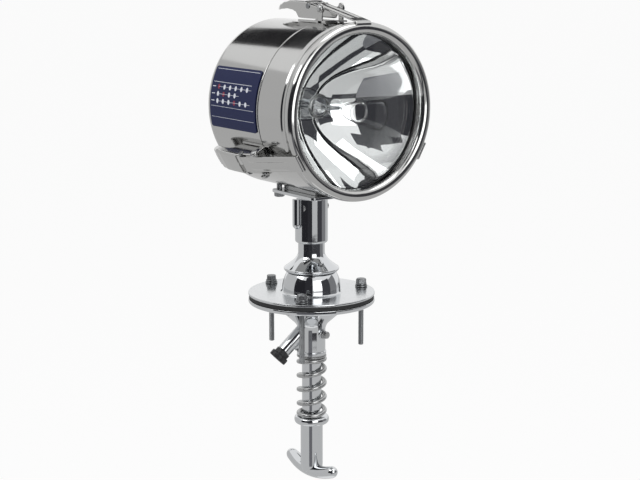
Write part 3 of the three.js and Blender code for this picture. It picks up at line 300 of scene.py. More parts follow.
def chromed_brass():
    # Cast brass, buffed and chromium-plated: a sharp mirror with the slight waves that hand buffing leaves
    return finish("chromed_cast_brass", "chrome", (0.03, 0.07), (26, 2), ((14, 1), 0.16, 0.4))


def brushed_plate():
    # The same plating on the broad flange, only brushed before it was plated: it blurs what it mirrors
    return finish("brushed_plated_flange", "chrome", (0.15, 0.22), (26, 2))


def satin_spring_steel():
    # Drawn spring steel, bright zinc: fine draw marks, and a duller shine than the plated castings
    return finish("drawn_spring_steel", "satin", (0.22, 0.36), (0.9, 3), ((0.9, 3), 0.15, 0.05))


def zinc_bolt_steel():
    # Rolled and zinc-plated fasteners: grey, a little mottled, with a broad shine
    return finish(
        "zinc_plated_bolt_steel", "bolt", (0.3, 0.46), (2.2, 4), ((2.2, 4), 0.2, 0.06), mottle=(0.62, 1))


def moulded_rubber():
    # Moulded black rubber: matt, with a fine bloom that greys it in patches
    return finish(
        "moulded_black_rubber", "rubber", (0.62, 0.8), (9, 4), ((0.7, 3), 0.3, 0.08), mottle=(1, 1.7),
        metal=False)


def moulded_nylon():
    # Injection-moulded black nylon with a fine spark-eroded grain of about half a millimetre
    return finish(
        "moulded_black_nylon", "nylon", (0.4, 0.55), (0.5, 3), ((0.5, 3), 0.35, 0.06), metal=False, IOR=1.53)


def pressed_glass():
    # Pressed borosilicate glass: clear, with the long soft waves of a pressed lens
    return finish(
        "pressed_borosilicate_glass", "glass", relief=((30, 1), 0.03, 0.6), metal=False,
        Roughness=0.0, IOR=1.47, Transmission_Weight=1.0)


def aluminised_glass():
    # Vacuum-aluminised glass: the sharpest mirror here, its waves a few centimetres long
    return finish("aluminised_glass", "mirror", (0.015, 0.04), (18, 2), ((17, 1), 0.08, 0.6))


def printed_enamel(name, shade, gloss):
    # Screen-printed enamel on thin aluminium: flat colour under a soft sheen, with a slight orange peel
    return finish(
        name, shade, (gloss, gloss + 0.12), (1.2, 2), ((1.2, 2), 0.12, 0.05), metal=False,
        Specular_IOR_Level=0.25)


def oiled_bronze():
    # Sintered bronze, oil-filled: brown-gold and finely pitted
    return finish("sintered_bronze", "bronze", (0.28, 0.5), (0.8, 4), ((0.8, 4), 0.3, 0.06))


def drawn_tungsten():
    # Drawn tungsten and nickel wire: grey, faintly lined
    return finish("drawn_tungsten", "tungsten", (0.25, 0.42), (0.4, 3))


# Mesh making: a part is its vertices in mm and its faces
def ring_angles(count):
    return [TURN * k / count for k in range(count)]


def arc(centre, radii, start, end, steps):
    """Points on a round or flattened arc, from one angle to another in degrees."""
    angles = [math.radians(start + (end - start) * k / steps) for k in range(steps + 1)]
    return [(centre[0] + radii[0] * math.cos(a), centre[1] + radii[1] * math.sin(a)) for a in angles]


def rounded(points, steps=6):
    """Outline points (x, y) or (x, y, radius): a corner with a radius is drawn as a curve."""
    out = []
    for i, point in enumerate(points):
        here = Vector(point[:2])
        if len(point) < 3 or not point[2]:
            out.append(tuple(here))
            continue
        back = Vector(points[i - 1][:2]) - here
        ahead = Vector(points[(i + 1) % len(points)][:2]) - here
        # Two curves on one short run stop just before its middle
        reach = min(point[2], back.length * 0.48, ahead.length * 0.48)
        start, end = here + back.normalized() * reach, here + ahead.normalized() * reach
        for k in range(steps + 1):
            t = k / steps
            out.append(tuple(start * (1 - t) ** 2 + here * 2 * t * (1 - t) + end * t * t))
    return out


def supported(profile, closed):
    """Adds a point close to each end of a long straight run, so smooth shading stays flat along it."""
    long_run, support = 3, 0.35
    out = []
    for here, after in zip(profile, [*profile[1:], profile[0] if closed else profile[-1]]):
        out.append(here)
        run = Vector(after) - Vector(here)
        if run.length > long_run:
            step = run.normalized() * support
            out += [tuple(Vector(here) + step), tuple(Vector(after) - step)]
    return out


def lathe(profile, segments):
    """A closed outline of (radius, height) points turned about the third axis; its ends may lie on it."""
    verts, rings = [], []
    closed = profile[0][0] > ON_AXIS
    for radius, height in supported(profile, closed):
        start = len(verts)
        if radius < ON_AXIS:
            verts.append((0, 0, height))
            rings.append([start] * segments)
        else:
            verts += [(radius * math.cos(a), radius * math.sin(a), height) for a in ring_angles(segments)]
            rings.append(list(range(start, start + segments)))
    pairs = list(zip(rings, rings[1:]))
    if closed:
        pairs.append((rings[-1], rings[0]))
    faces = []
    for a, b in pairs:
        for k in range(segments):
            n = (k + 1) % segments
            face = list(dict.fromkeys([a[k], a[n], b[n], b[k]]))
            if len(face) > 2:
                faces.append(face)
    return verts, faces


def ring(inner, outer, low, high, segments, lower=0, upper=0):
    """A turned ring, or a disc where inner is 0, its outer edges rounded by the radii lower and upper."""
    return lathe(rounded([(inner, low), (outer, low, lower), (outer, high, upper), (inner, high)]), segments)


def loft(rows, closed_rows=False, caps=False):
    """A grid of points: rows of equal length, joined in order."""
    width = len(rows[0])
    verts = [point for row in rows for point in row]
    faces = []
    for start in range(0, len(verts) - width, width):
        for k in range(width if closed_rows else width - 1):
            n = (k + 1) % width
            faces.append([start + k, start + n, start + width + n, start + width + k])
    if caps:
        faces.append(list(range(width))[::-1])
        faces.append(list(range(len(verts) - width, len(verts))))
    return verts, faces


def prism(outline, low, high):
    """A plate from an outline of (x, y) points, between two heights."""
    return loft([[(x, y, z) for x, y in outline] for z in (low, high)], closed_rows=True, caps=True)


def hexagon(radius, low, high, chamfer, segments=72):
    """A hexagon head on the third axis whose top corners are turned off to a cone."""
    cone_share, crown_share, crown_rise = 0.16, 0.62, 0.02
    flat = math.pi / 6

    def section(limit, height):
        """The hexagon at one height, its corners cut back to a round limit."""
        row = []
        for a in ring_angles(segments):
            reach = min(radius * math.cos(flat) / math.cos((a + flat) % (2 * flat) - flat), limit)
            row.append((reach * math.cos(a), reach * math.sin(a), height))
        return row

    rows = [section(radius, low)]
    for k in range(6):
        turned_off = k / 5
        rows.append(section(radius * (1 - cone_share * turned_off), high - chamfer * (1 - turned_off)))
    rows.append(section(radius * crown_share, high + crown_rise * radius))
    return loft(rows, closed_rows=True, caps=True)


def merged(*parts):
    """Several parts as one."""
    verts, faces = [], []
    for more_verts, more_faces in parts:
        start = len(verts)
        verts += list(more_verts)
        faces += [[start + v for v in face] for face in more_faces]
    return verts, faces


def moved(part, matrix):
    verts, faces = part
    return [tuple(matrix @ Vector(v)) for v in verts], faces


def shifted(part, x=0, y=0, z=0):
    return moved(part, Matrix.Translation((x, y, z)))


def turned(part, turn):
    return moved(part, Matrix.Rotation(turn, 4, "Z"))


def outward(part, turn, height):
    """A part drawn along the third axis, laid level and pointing away from the shaft at that turn."""
    return turned(shifted(moved(part, LAY), z=height), turn)


def tube(path, radius, sides):
    """A round wire along points, its section turned as little as possible from one point to the next."""
    path = [Vector(p) for p in path]
    rows = []
    across = (path[1] - path[0]).normalized().orthogonal()
    for i, here in enumerate(path):
        along = (path[min(i + 1, len(path) - 1)] - path[max(i - 1, 0)]).normalized()
        across = (across - along * across.dot(along)).normalized()
        third = along.cross(across)
        rows.append([
            here + (across * math.cos(a) + third * math.sin(a)) * radius for a in ring_angles(sides)])
    return loft(rows, closed_rows=True, caps=True)


def drum_turned(profile, segments):
    """A part turned about the beam axis, from (radius, forward) points."""
    return moved(lathe(profile, segments), DRUM)


def solid_mesh(name, part):
    """A part as a mesh in metres, its points joined and its faces turned outwards."""
    verts, faces = part
    mesh = bpy.data.meshes.new(name)
    mesh.from_pydata([tuple(c * MM for c in v) for v in verts], [], faces)
    work = bmesh.new()
    work.from_mesh(mesh)
    bmesh.ops.remove_doubles(work, verts=work.verts, dist=1e-7)
    bmesh.ops.recalc_face_normals(work, faces=work.faces)
    work.to_mesh(mesh)
    work.free()
    return mesh


def shade_smooth(mesh, sharp):
    mesh.polygons.foreach_set("use_smooth", [True] * len(mesh.polygons))
    mesh.set_sharp_from_angle(angle=math.radians(sharp))


def bevel_edges(obj, width, segments, angle):
    edge = obj.modifiers.new("edge", "BEVEL")
    edge.width, edge.segments = width * MM, segments
    edge.limit_method, edge.angle_limit = "ANGLE", math.radians(angle)
    return edge


SHARP = 38  # degrees between two faces from which their edge shows


def piece(name, part, material, body, stands_for=(), sharp=SHARP, place=None, bevel=0.0):
    """Makes one piece in the frame, smooth up to the sharp angle, and lets it ride on its body."""
    mesh = solid_mesh(name, part if place is None else moved(part, place))
    mesh.materials.append(material)
    shade_smooth(mesh, sharp)
    obj = bpy.data.objects.new(name, mesh)
    bpy.context.scene.collection.objects.link(obj)
    if bevel:
        bevel_edges(obj, bevel, 3, 40).harden_normals = True
    if body:
        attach(obj, body)
    if stands_for:
        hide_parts(*stands_for)
    return obj


def carve(obj, part):
    """Cuts a shape out of a piece."""
    cutter = bpy.data.objects.new("cutter", solid_mesh("cutter", part))
    bpy.context.scene.collection.objects.link(cutter)
    modifier = obj.modifiers.new("carve", "BOOLEAN")
    modifier.operation, modifier.object, modifier.solver = "DIFFERENCE", cutter, "EXACT"
    graph = bpy.context.evaluated_depsgraph_get()
    carved = bpy.data.meshes.new_from_object(obj.evaluated_get(graph))
    obj.modifiers.clear()
    obj.data = carved
    bpy.data.objects.remove(cutter)
    shade_smooth(obj.data, SHARP)


def second_finish(obj, material, chosen):
    """Gives the faces that are chosen by their centre, in mm, another finish."""
    obj.data.materials.append(material)
    for face in obj.data.polygons:
        face.material_index = int(chosen(face.center / MM))


def keep_solid(nodes, material):
    """Gives carried-over CAD solids a material."""
    for name in nodes:
        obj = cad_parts[name]
        obj.data.materials.clear()
        obj.data.materials.append(material)


# Pieces
class SEARCHLIGHT_OT_roof_flange(bpy.types.Operator):
    """Adds the upper roof flange with its dome, and the rubber gasket under it"""

    bl_idname = "searchlight.roof_flange"
    bl_label = "Roof flange"

    def execute(self, context):
        size = sizes()
        rim = size["flange_radius"]
        foot = FLANGE_TOP - FLANGE_THICKNESS
        bore, gasket_bore = 15, 33
        base, top, fillet = 32.6, 27.0, 2.5
        sweep = math.acos(top / base)
        rise = (DOME_HEIGHT - fillet) / math.sin(sweep)
        profile = rounded([
            (bore, foot),
            (rim, foot, 0.5),
            (rim, FLANGE_TOP, 1.0),
            *arc((base + fillet, FLANGE_TOP + fillet), (fillet, fillet), -90, -180, 8),
            *arc((0, FLANGE_TOP + fillet), (base, rise), 0, math.degrees(sweep), 16)[1:-1],
            (top, DOME_TOP, 1.4),
            (bore, DOME_TOP),
        ])
        flange = lathe(profile, size["segments"])
        flange = piece("roof_flange", flange, brushed_plate(), "base", ["top_flange"])
        dome_foot = FLANGE_TOP + 0.6
        second_finish(flange, chromed_brass(), lambda centre: centre.z > dome_foot)
        gasket = ring(gasket_bore, size["gasket_radius"], 0, foot - SEAT, size["segments"], 0.6, 0.6)
        piece("rubber_gasket", gasket, moulded_rubber(), "base", ["roof_gasket"])
        return {"FINISHED"}


class SEARCHLIGHT_OT_roof_bolts(bpy.types.Operator):
    """Adds the three roof bolts with their threads and washers"""

    bl_idname = "searchlight.roof_bolts"
    bl_label = "Roof bolts"

    def execute(self, context):
        size = sizes()
        radius, pitch = size["bolt_radius"], size["thread_pitch"]
        washer_radius, washer_height, washer_gap = 6.8, 1.6, 0.3
        collar_radius, collar_height = 6.1, 2.2
        sunk = 0.05  # how far the head reaches into its collar
        foot = FLANGE_TOP + SEAT
        collar_foot = foot + washer_height + SEAT
        head_foot = collar_foot + collar_height
        washer = ring(radius + washer_gap, washer_radius, foot, foot + washer_height, 48, 0.4, 0.5)
        collar = ring(0, collar_radius, collar_foot, head_foot, 48, 0.6, 0.7)
        head = hexagon(HEX_RADIUS, head_foot - sunk, head_foot + NUT_HEIGHT, 1.0)
        tip, tip_share, shoulder_share = 0.8, 0.72, 0.98
        root_share, plain = 0.9, 2  # depth of the thread, and plain shank under the collar
        end = corner("roof_bolt_1", LOW, "z")
        thread = [(0, end), (radius * tip_share, end), (radius * shoulder_share, end + tip)]
        z = end + tip
        while z < head_foot - plain - pitch:
            thread += [(radius, z + pitch / 4), (radius * root_share, z + pitch * 3 / 4)]
            z += pitch
        thread += [(radius, z), (radius, head_foot), (0, head_foot)]
        bolt = merged(collar, head, lathe(thread, 28))
        # Each head stopped at its own angle when it was tightened
        for i, (turn, stop) in enumerate(zip(BOLT_TURNS, (18, 41, 5))):
            place = Matrix.Rotation(turn, 4, "Z") @ Matrix.Translation((BOLT_CIRCLE, 0, 0))
            steel = zinc_bolt_steel()
            piece(
                f"hex_bolt_{i + 1}", turned(bolt, math.radians(stop)), steel, "base",
                [f"roof_bolt_{i + 1}"], place=place, sharp=30)
            piece(
                f"bolt_washer_{i + 1}", washer, steel, "base", [f"roof_washer_{i + 1}"],
                place=place)
        return {"FINISHED"}


def lay_gland(part, sleeve):
    """Leans a part of the gland, which is drawn along the third axis, out and down from the sleeve."""
    start = (sleeve - GLAND_RADIUS / 2) * math.cos(GLAND_ANGLE)
    leaned = moved(part, Matrix.Rotation(math.pi / 2 + GLAND_ANGLE, 4, "Y"))
    return turned(shifted(leaned, x=start, z=-GLAND_DEPTH), GLAND_TURN)


class SEARCHLIGHT_OT_lower_casting(bpy.types.Operator):
    """Adds the lower flange with its trumpet, sleeve, gland tube, web and screws"""

    bl_idname = "searchlight.lower_casting"
    bl_label = "Lower casting"

    def casting(self, sleeve, rim, segments):
        bore, cone_mouth, cone_foot, soft = 13.5, 45.0, -31.5, 6
        foot, land, rim_step = -5.1, -3.7, 1.6
        lip_height = 3
        lean = Vector((cone_mouth - sleeve, foot - cone_foot)).normalized()
        # The cone runs into the sleeve on a soft fillet
        fillet = []
        for share in (k / 12 for k in range(13)):
            along, below = (1 - share) ** 2 * soft, share ** 2 * soft
            fillet.append((sleeve + lean.x * along, cone_foot + lean.y * along - below))
        profile = rounded([
            (bore, -SEAT),
            (rim, -SEAT, 0.5),
            (rim, land, 0.9),
            (rim - rim_step, foot, 0.9),
            (cone_mouth, foot, 1.6),
            *fillet,
            (sleeve, SLEEVE_END + lip_height + SLEEVE_LIP, 0.4),
            (sleeve + SLEEVE_LIP, SLEEVE_END + lip_height, 0.3),
            (sleeve + SLEEVE_LIP, SLEEVE_END, 0.4),
            (bore, SLEEVE_END),
        ])
        casting = piece(
            "lower_flange_casting", lathe(profile, segments), chromed_brass(), "base",
            ["lower_casting"])
        spot_radius, spot_depth = 3.8, 4
        spot = ring(0, spot_radius, sleeve, sleeve + spot_depth, 48)
        carve(casting, outward(spot, EARTH_TURN, EARTH_HEIGHT))

    def gland_tube(self, sleeve):
        bore, hidden_end = 4.6, -4
        tube_part = ring(bore, GLAND_RADIUS, hidden_end, GLAND_LENGTH, 64, 0, 0.7)
        piece("gland_tube", lay_gland(tube_part, sleeve), chromed_brass(), "base")
        reach_share, inside, web_foot, half_thickness = 0.75, 1.5, 7, 2
        reach = GLAND_LENGTH * math.cos(GLAND_ANGLE) * reach_share
        top = -GLAND_DEPTH - GLAND_RADIUS / math.sin(GLAND_ANGLE) / 2
        root = sleeve - inside
        outline = [(root, top), (sleeve + reach, top - reach), (root, SLEEVE_END + web_foot)]
        web = moved(prism(outline, -half_thickness, half_thickness), Matrix.Rotation(math.pi / 2, 4, "X"))
        piece("gland_web", turned(web, GLAND_TURN), chromed_brass(), "base", bevel=0.6)

    def screws(self, sleeve):
        nut_share, screw_share, earth_share = 0.8, 0.72, 0.6  # hexagons, as shares of an M6 one
        boss_radius, boss_root, boss_face, hole = 5.2, sleeve - 3, sleeve + 1.6, 2.8
        boss = lathe(rounded([
            (0, boss_root),
            (boss_radius, boss_root),
            (boss_radius, boss_face, 0.5),
            (hole, boss_face),
            (hole, sleeve),
            (0, sleeve),
        ]), 48)
        piece(
            "friction_boss", outward(boss, SCREW_TURN, SCREW_HEIGHT), chromed_brass(), "base")
        nut_foot = boss_face + SEAT
        nut_face = nut_foot + NUT_HEIGHT / 2
        nut = hexagon(HEX_RADIUS * nut_share, nut_foot, nut_face, 0.5)
        piece(
            "screw_lock_nut", outward(nut, SCREW_TURN, SCREW_HEIGHT), satin_spring_steel(), "base",
            ["friction_lock_nut"], sharp=30)
        head_foot, head_height = nut_face + SEAT, HEAD_HEIGHT * 0.7 + 0.4
        screw = merged(
            hexagon(HEX_RADIUS * screw_share, head_foot, head_foot + head_height, 0.7),
            ring(0, 2.5, sleeve - 2, nut_face + 0.5, 28),
        )
        piece(
            "friction_clamp_screw", outward(screw, SCREW_TURN, SCREW_HEIGHT), satin_spring_steel(),
            "friction_screw", ["friction_screw"], sharp=30)
        head_foot, head_height = sleeve + SEAT, HEAD_HEIGHT * earth_share
        earth = merged(
            hexagon(HEX_RADIUS * earth_share, head_foot, head_foot + head_height, 0.5),
            ring(0, 2, sleeve - 1.5, sleeve + 0.4, 28),
        )
        piece(
            "earth_terminal_screw", outward(earth, EARTH_TURN, EARTH_HEIGHT), zinc_bolt_steel(), "base",
            ["earth_screw"], sharp=30)

    def execute(self, context):
        size = sizes()
        sleeve = size["sleeve_radius"]
        self.casting(sleeve, size["flange_radius"], size["segments"])
        self.gland_tube(sleeve)
        self.screws(sleeve)
        keep_solid(["upper_bush"], oiled_bronze())
        keep_solid(["lower_bush"], satin_spring_steel())
        low, high = corner("spring_washer_plate", LOW, "z"), corner("spring_washer_plate", HIGH, "z")
        seat_bore, seat_radius = 11.4, 16.6
        piece(
            "spring_seat_washer", ring(seat_bore, seat_radius, low, high, 72, 0.4, 0.4), satin_spring_steel(),
            "base", ["spring_washer_plate"])
        return {"FINISHED"}


class SEARCHLIGHT_OT_gland(bpy.types.Operator):
    """Adds the ribbed gland cap and the rubber plug that blanks it"""

    bl_idname = "searchlight.gland"
    bl_label = "Gland"

    def cap(self):
        count, points = 14, 12  # ribs, and points round each
        outer, groove, steepness, back_hole = 10.4, 0.9, 2.2, 8.0
        neck_radius, inside, face_rise = 8.3, 1, 0.15
        angles = ring_angles(count * points)

        def circle(radius, height):
            return [(radius * math.cos(a), radius * math.sin(a), height) for a in angles]

        rows = []
        # Each end of the cap is drawn in: shares of its length, and how far in
        for share, inwards in ((0, 0.8), (0.06, 0.25), (0.14, 0.0), (0.86, 0.0), (0.94, 0.25), (1.0, 0.8)):
            row = []
            for a in angles:
                wave = 0.5 + 0.5 * math.cos(count * a)
                radius = outer - inwards - groove * (1 - min(1.0, wave * steepness))
                height = GLAND_NUT_FOOT + (GLAND_NUT_TOP - GLAND_NUT_FOOT) * share
                row.append((radius * math.cos(a), radius * math.sin(a), height))
            rows.append(row)
        rows = [circle(back_hole, GLAND_NUT_FOOT), *rows]
        rows += [circle(GLAND_HOLE, GLAND_NUT_TOP + face_rise), circle(GLAND_HOLE, GLAND_NUT_FOOT + inside)]
        neck = ring(GLAND_HOLE, neck_radius, GLAND_COLLAR, GLAND_NUT_FOOT + SEAT, 72, 0.6)
        return merged(loft(rows, closed_rows=True), neck)

    def execute(self, context):
        sleeve = sizes()["sleeve_radius"]
        piece(
            "ribbed_gland_cap", lay_gland(self.cap(), sleeve), moulded_nylon(), "base",
            ["gland_cap"])
        root, stem, body, dish = 25, 4.3, 5.4, 2.9
        face = GLAND_NUT_TOP - 1.0
        floor = GLAND_NUT_TOP - 1.7
        plug = lathe(rounded([
            (0, root),
            (stem, root, 0.8),
            (stem, GLAND_COLLAR),
            (body, GLAND_COLLAR),
            (body, face, 0.7),
            (dish + 0.5, face, 0.5),
            (dish, floor, 0.4),
            (0, floor),
        ]), 64)
        piece(
            "blanking_plug", lay_gland(plug, sleeve), moulded_rubber(), "base",
            ["gland_plug"])
        return {"FINISHED"}


class SEARCHLIGHT_OT_bell_and_neck(bpy.types.Operator):
    """Adds the bell that turns on the dome, the neck casting on it and the drive tube"""

    bl_idname = "searchlight.bell_and_neck"
    bl_label = "Bell and neck"

    def bell(self, segments):
        foot = DOME_TOP + 1.2
        rim, rim_height, toe = 30.6, 3.6, 1.8
        flare, spigot, spigot_top = 17.5, 14.7, NECK_FOOT + 12
        inside, bore = 24.3, 11.1
        curve = []
        for share in (i / 20 for i in range(1, 21)):
            radius = rim - (rim - spigot) * math.sin(math.pi / 2 * share)
            curve.append((radius, foot + rim_height + flare * share))
        profile = rounded([
            (inside, foot),
            (rim - toe, foot, 0.5),
            (rim, foot + toe, 0.9),
            (rim, foot + rim_height, 0.9),
            *curve,
            (spigot, spigot_top),
            (bore, spigot_top),
            (bore, foot + rim_height),
            (inside, foot + 2),
        ])
        piece(
            "bell_casting", lathe(profile, segments), chromed_brass(), "turntable",
            ["bell"])

    def crown(self, y):
        """Height of the neck's top, which slopes both ways from the pivot to let the saddle tilt."""
        gap = SADDLE_RISE / math.cos(TILT) - 1
        return min(NECK_TOP, PIVOT_Z + gap - abs(y + PIVOT_FORWARD) * math.tan(TILT))

    def up_to_crown(self, part, below, keep_height=True):
        """Brings the points that were drawn above all the rest down to the neck's sloping top."""
        verts, faces = part
        raised = []
        for x, y, z in verts:
            if z > RAISED * 3 / 4:
                z = self.crown(y) - below + (z - RAISED if keep_height else 0)
            raised.append((x, y, z))
        return raised, faces

    def neck(self, radius, segments):
        bore, socket, socket_height = 14.65, 15.0, 12.3
        corner_drop, rib_drop = 0.7, 0.3
        shape = rounded([
            (socket, NECK_FOOT),
            (radius - 1.4, NECK_FOOT, 0.4),
            (radius - 0.4, NECK_FOOT + 0.8, 0.5),
            (radius, NECK_FOOT + 2.2, 1.0),
            (radius, RAISED),
        ], 5)
        shape += [
            (radius - 0.5, RAISED + corner_drop),
            (bore + 0.5, RAISED + corner_drop),
            (bore, RAISED),
            (bore, NECK_FOOT + socket_height),
            (socket, NECK_FOOT + socket_height),
        ]
        neck = piece(
            "neck_tube", self.up_to_crown(lathe(shape, segments), corner_drop), chromed_brass(), "turntable",
            ["neck_casting"])
        hole, past_wall = PIN_RADIUS + 0.15, 30
        carve(neck, moved(ring(0, hole, -14.5, past_wall, 48), AT_PIVOT))
        rib_radius, rib_centre, rib_height = 5, 19.4, 28.5
        foot = arc((0, NECK_TOP - rib_height), (rib_radius, rib_radius), -90, 0, 10)
        rib = lathe([*foot, (rib_radius, RAISED), (0, RAISED)], 48)
        rib = self.up_to_crown(rib, rib_drop, keep_height=False)
        rib = piece(
            "neck_rib", shifted(rib, x=-rib_centre), chromed_brass(), "turntable")
        carve(rib, ring(0, bore - 0.05, NECK_FOOT, NECK_TOP + 10, 96))
        pin_end = math.sqrt(radius ** 2 - PIVOT_FORWARD ** 2) - SEAT
        piece(
            "pivot_pin", ring(0, PIN_RADIUS, -16.4, pin_end, 48, 0.5, 0.7), satin_spring_steel(), "turntable",
            ["tilt_pin"], place=AT_PIVOT)

    def execute(self, context):
        size = sizes()
        self.bell(size["segments"])
        self.neck(size["neck_radius"], size["segments"])
        keep_solid(["lock_screw"], zinc_bolt_steel())
        keep_solid(["thrust_washer"], moulded_nylon())
        low, high = corner("drive_tube", LOW, "z"), corner("drive_tube", HIGH, "z")
        shaft = ring(SHAFT_BORE, size["tube_radius"], low, high, 96, 0.5, 0.4)
        piece("drive_shaft_tube", shaft, chromed_brass(), "turntable", ["drive_tube"])
        return {"FINISHED"}


class SEARCHLIGHT_OT_tee_handle(bpy.types.Operator):
    """Adds the tee handle with its collar, stem and upswept bar, and keeps the push rod in it"""

    bl_idname = "searchlight.tee_handle"
    bl_label = "Tee handle"

    def stem(self, top, foot):
        collar_radius, collar_height, stem_radius, waist = 19.5, 8.3, 12.5, 4.7
        edge, toe, toe_height = collar_height / 3, 2.0, 9
        collar = arc((collar_radius - edge, top - collar_height / 2), (edge, collar_height / 2), 90, -90, 18)
        under = top - collar_height
        neck = [(stem_radius + 2.7, under), (stem_radius, under, 2.6), (stem_radius, under - waist)]
        neck = rounded(neck, 8)
        end = arc((stem_radius - toe, foot + toe_height), (toe, toe_height), 0, -90, 10)
        return lathe([(SHAFT_BORE, top), *collar, *neck[1:], *end, (SHAFT_BORE, foot)], 96)

    def bar(self, foot, reach):
        rise, end_round = 7, 8
        half_wide, narrowing, half_high = 10.5, 3.6, 6.8
        rows, steps = [], 64
        for i in range(steps + 1):
            # The section closes to a point at each end along a quarter round
            along = math.sin((-1 + 2 * i / steps) * math.pi / 2) * (reach + end_round)
            over = max(0.0, abs(along) - reach) / end_round
            swell = math.sqrt(max(0.0, 1 - over * over))
            share = (along / reach) ** 2
            normal = Vector((0, -2 * rise * along / reach ** 2, 1)).normalized()
            wide, high = (half_wide - narrowing * min(share, 1)) * swell, half_high * swell
            middle_height = foot + rise * share
            row = []
            for a in ring_angles(48):
                out = high * math.sin(a)
                row.append((wide * math.cos(a), along + normal.y * out, middle_height + normal.z * out))
            rows.append(row)
        return loft(rows, closed_rows=True, caps=True)

    def execute(self, context):
        top, height = corner("tee_handle", HIGH, "z"), 64.6
        foot = top - height
        handle = merged(self.stem(top, foot), self.bar(foot, sizes()["handle_span"] / 2))
        piece("tee_handle_casting", handle, chromed_brass(), "handle", ["tee_handle"])
        keep_solid(["push_rod"], chromed_brass())
        keep_solid(["link_pin", "handle_grub_screw"], zinc_bolt_steel())
        return {"FINISHED"}


class SEARCHLIGHT_OT_return_spring(bpy.types.Operator):
    """Adds the return spring, one wound wire that stretches between the sleeve and the handle"""

    bl_idname = "searchlight.return_spring"
    bl_label = "Return spring"

    def execute(self, context):
        size = sizes()
        wire, mean = size["wire_radius"], size["coil_radius"]
        top, low = corner("return_spring", HIGH, "z") - wire, corner("return_spring", LOW, "z") + wire
        pitch, dead_turns, start = 16.2, 0.62, math.radians(78)
        active = (top - low) / pitch
        turns = active + 2 * dead_turns
        steps = round(turns * 40)
        path = []
        for n in (turns * i / steps for i in range(steps + 1)):
            angle, run = start - TURN * n, min(max(n - dead_turns, 0), active)
            path.append((mean * math.cos(angle), mean * math.sin(angle), top - pitch * run))
        spring = piece(
            "wound_spring", tube(path, wire, 20), satin_spring_steel(), None,
            ["return_spring"])
        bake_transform(spring)
        return {"FINISHED"}


class SEARCHLIGHT_OT_drum(bpy.types.Operator):
    """Adds the rear pot, the seam gasket with a ring of painted shade in the joint, and the printed rating
    plate
    """

    bl_idname = "searchlight.drum"
    bl_label = "Drum"

    def pot(self, radius, segments):
        rear, corner_radius, wall = -60, 14, 1.5
        joint, step, end = 30.0, 1.2, 45.5
        centre, inside = (radius - corner_radius, rear), corner_radius - wall
        profile = rounded([
            (0, rear - corner_radius),
            (70, rear - corner_radius),
            *arc(centre, (corner_radius, corner_radius), -90, 0, 14),
            (radius, joint, 0.6),
            (radius - step, joint + 0.2),
            (radius - step, end),
            (radius - wall, end),
            *arc(centre, (inside, inside), 0, -90, 14),
            (0, rear - inside),
        ], 3)
        piece(
            "rear_drum_pot", drum_turned(profile, segments), polished_stainless(), "head",
            ["rear_pot"])
        # A thin black rubber ring in the joint is painted shade, put where only the joint's shadow falls; the
        # gasket's own ring lies under the band
        inner, outer = radius - 1.1, radius - 0.7
        joint_shade_ring = [(inner, joint + 0.1), (outer, joint + 0.3), (outer, joint + 3.5), (inner, joint + 3.5)]
        gasket = [(inner, end + SEAT), (outer, end + SEAT), (outer, end + 2.3), (inner, end + 2.3)]
        seam = merged(drum_turned(gasket, segments), drum_turned(joint_shade_ring, segments))
        # This piece is the real gasket ring together with the painted shade in the joint
        piece("seam_rubber", seam, moulded_rubber(), "head", ["seam_gasket"])

    def plate(self, pot):
        """The rating plate on the pot's side, drawn by its turn up from level and its place on the beam."""
        low, high = math.radians(-13.5), math.radians(27.9)
        rear, front = -59.0, 27.0
        foot, top, print_top = SEAT, 1.1, 1.16
        corner_radius, steps = 2.5, 60

        def at(turn, forward, height):
            radius = pot + height
            return (-radius * math.cos(turn), radius * math.sin(turn), forward)

        rows = []
        for i in range(steps + 1):
            turn = low + (high - low) * i / steps
            # Near the lower and upper edge the row is shorter by the plate's round corners
            into = max(0, corner_radius - min(high - turn, turn - low) * pot)
            trim = corner_radius - math.sqrt(corner_radius ** 2 - into ** 2)
            left, right = rear + trim, front - trim
            ends = ((left, foot), (left, top), (right, top), (right, foot))
            rows.append([at(turn, place, height) for place, height in ends])
        enamel = printed_enamel("blue_enamel_plate", "plate", 0.42)
        plate = moved(loft(rows, closed_rows=True, caps=True), DRUM)
        piece("blue_rating_plate", plate, enamel, "head", ["rating_plate"])

        def forward(share):
            return rear + (front - rear) * share

        def dot(along_share, up_share, radius, tall_share):
            turn, count = low + (high - low) * up_share, 20
            outline = []
            for a in ring_angles(count):
                up, along = radius * tall_share * math.sin(a), radius * math.cos(a)
                outline.append(at(turn + up / pot, forward(along_share) + along, print_top))
            return outline, [list(range(count))]

        def rule(from_share, to_share, up_share, width=0.5):
            turn = low + (high - low) * up_share
            ends = forward(from_share), forward(to_share)
            edges = turn - width / pot / 2, turn + width / pot / 2
            return loft([[at(edge, end, print_top) for end in ends] for edge in edges])

        thin, bold = 0.35, 0.9
        white, red = [rule(0.04, 0.97, 0.955), rule(0.04, 0.88, 0.735)], []
        first_share, step_share, row_share = 0.17, 0.125, 0.115
        # Rows of plain dots, one in each row marked
        for row, (count, marked) in enumerate(((6, 0), (4, 1), (6, 3))):
            up = 0.66 - row_share * row
            for k in range(count):
                chosen = red if k == marked else white
                chosen.append(dot(first_share + step_share * k, up, 2.1, 1.25))
            white.append(rule(first_share, first_share + step_share * (count - 1) + 0.09, up, thin))
            white.append(rule(0.03, 0.1, up, bold))
        white += [rule(0.03, 0.97, 0.345, thin), rule(0.03, 0.97, 0.17, thin)]
        for name, marks in (("white", white), ("red", red)):
            ink = printed_enamel(f"{name}_screen_print", f"print_{name}", 0.35)
            piece(f"plate_print_{name}", moved(merged(*marks), DRUM), ink, "head")

    def execute(self, context):
        size = sizes()
        self.pot(size["pot_radius"], size["segments"])
        self.plate(size["pot_radius"])
        return {"FINISHED"}


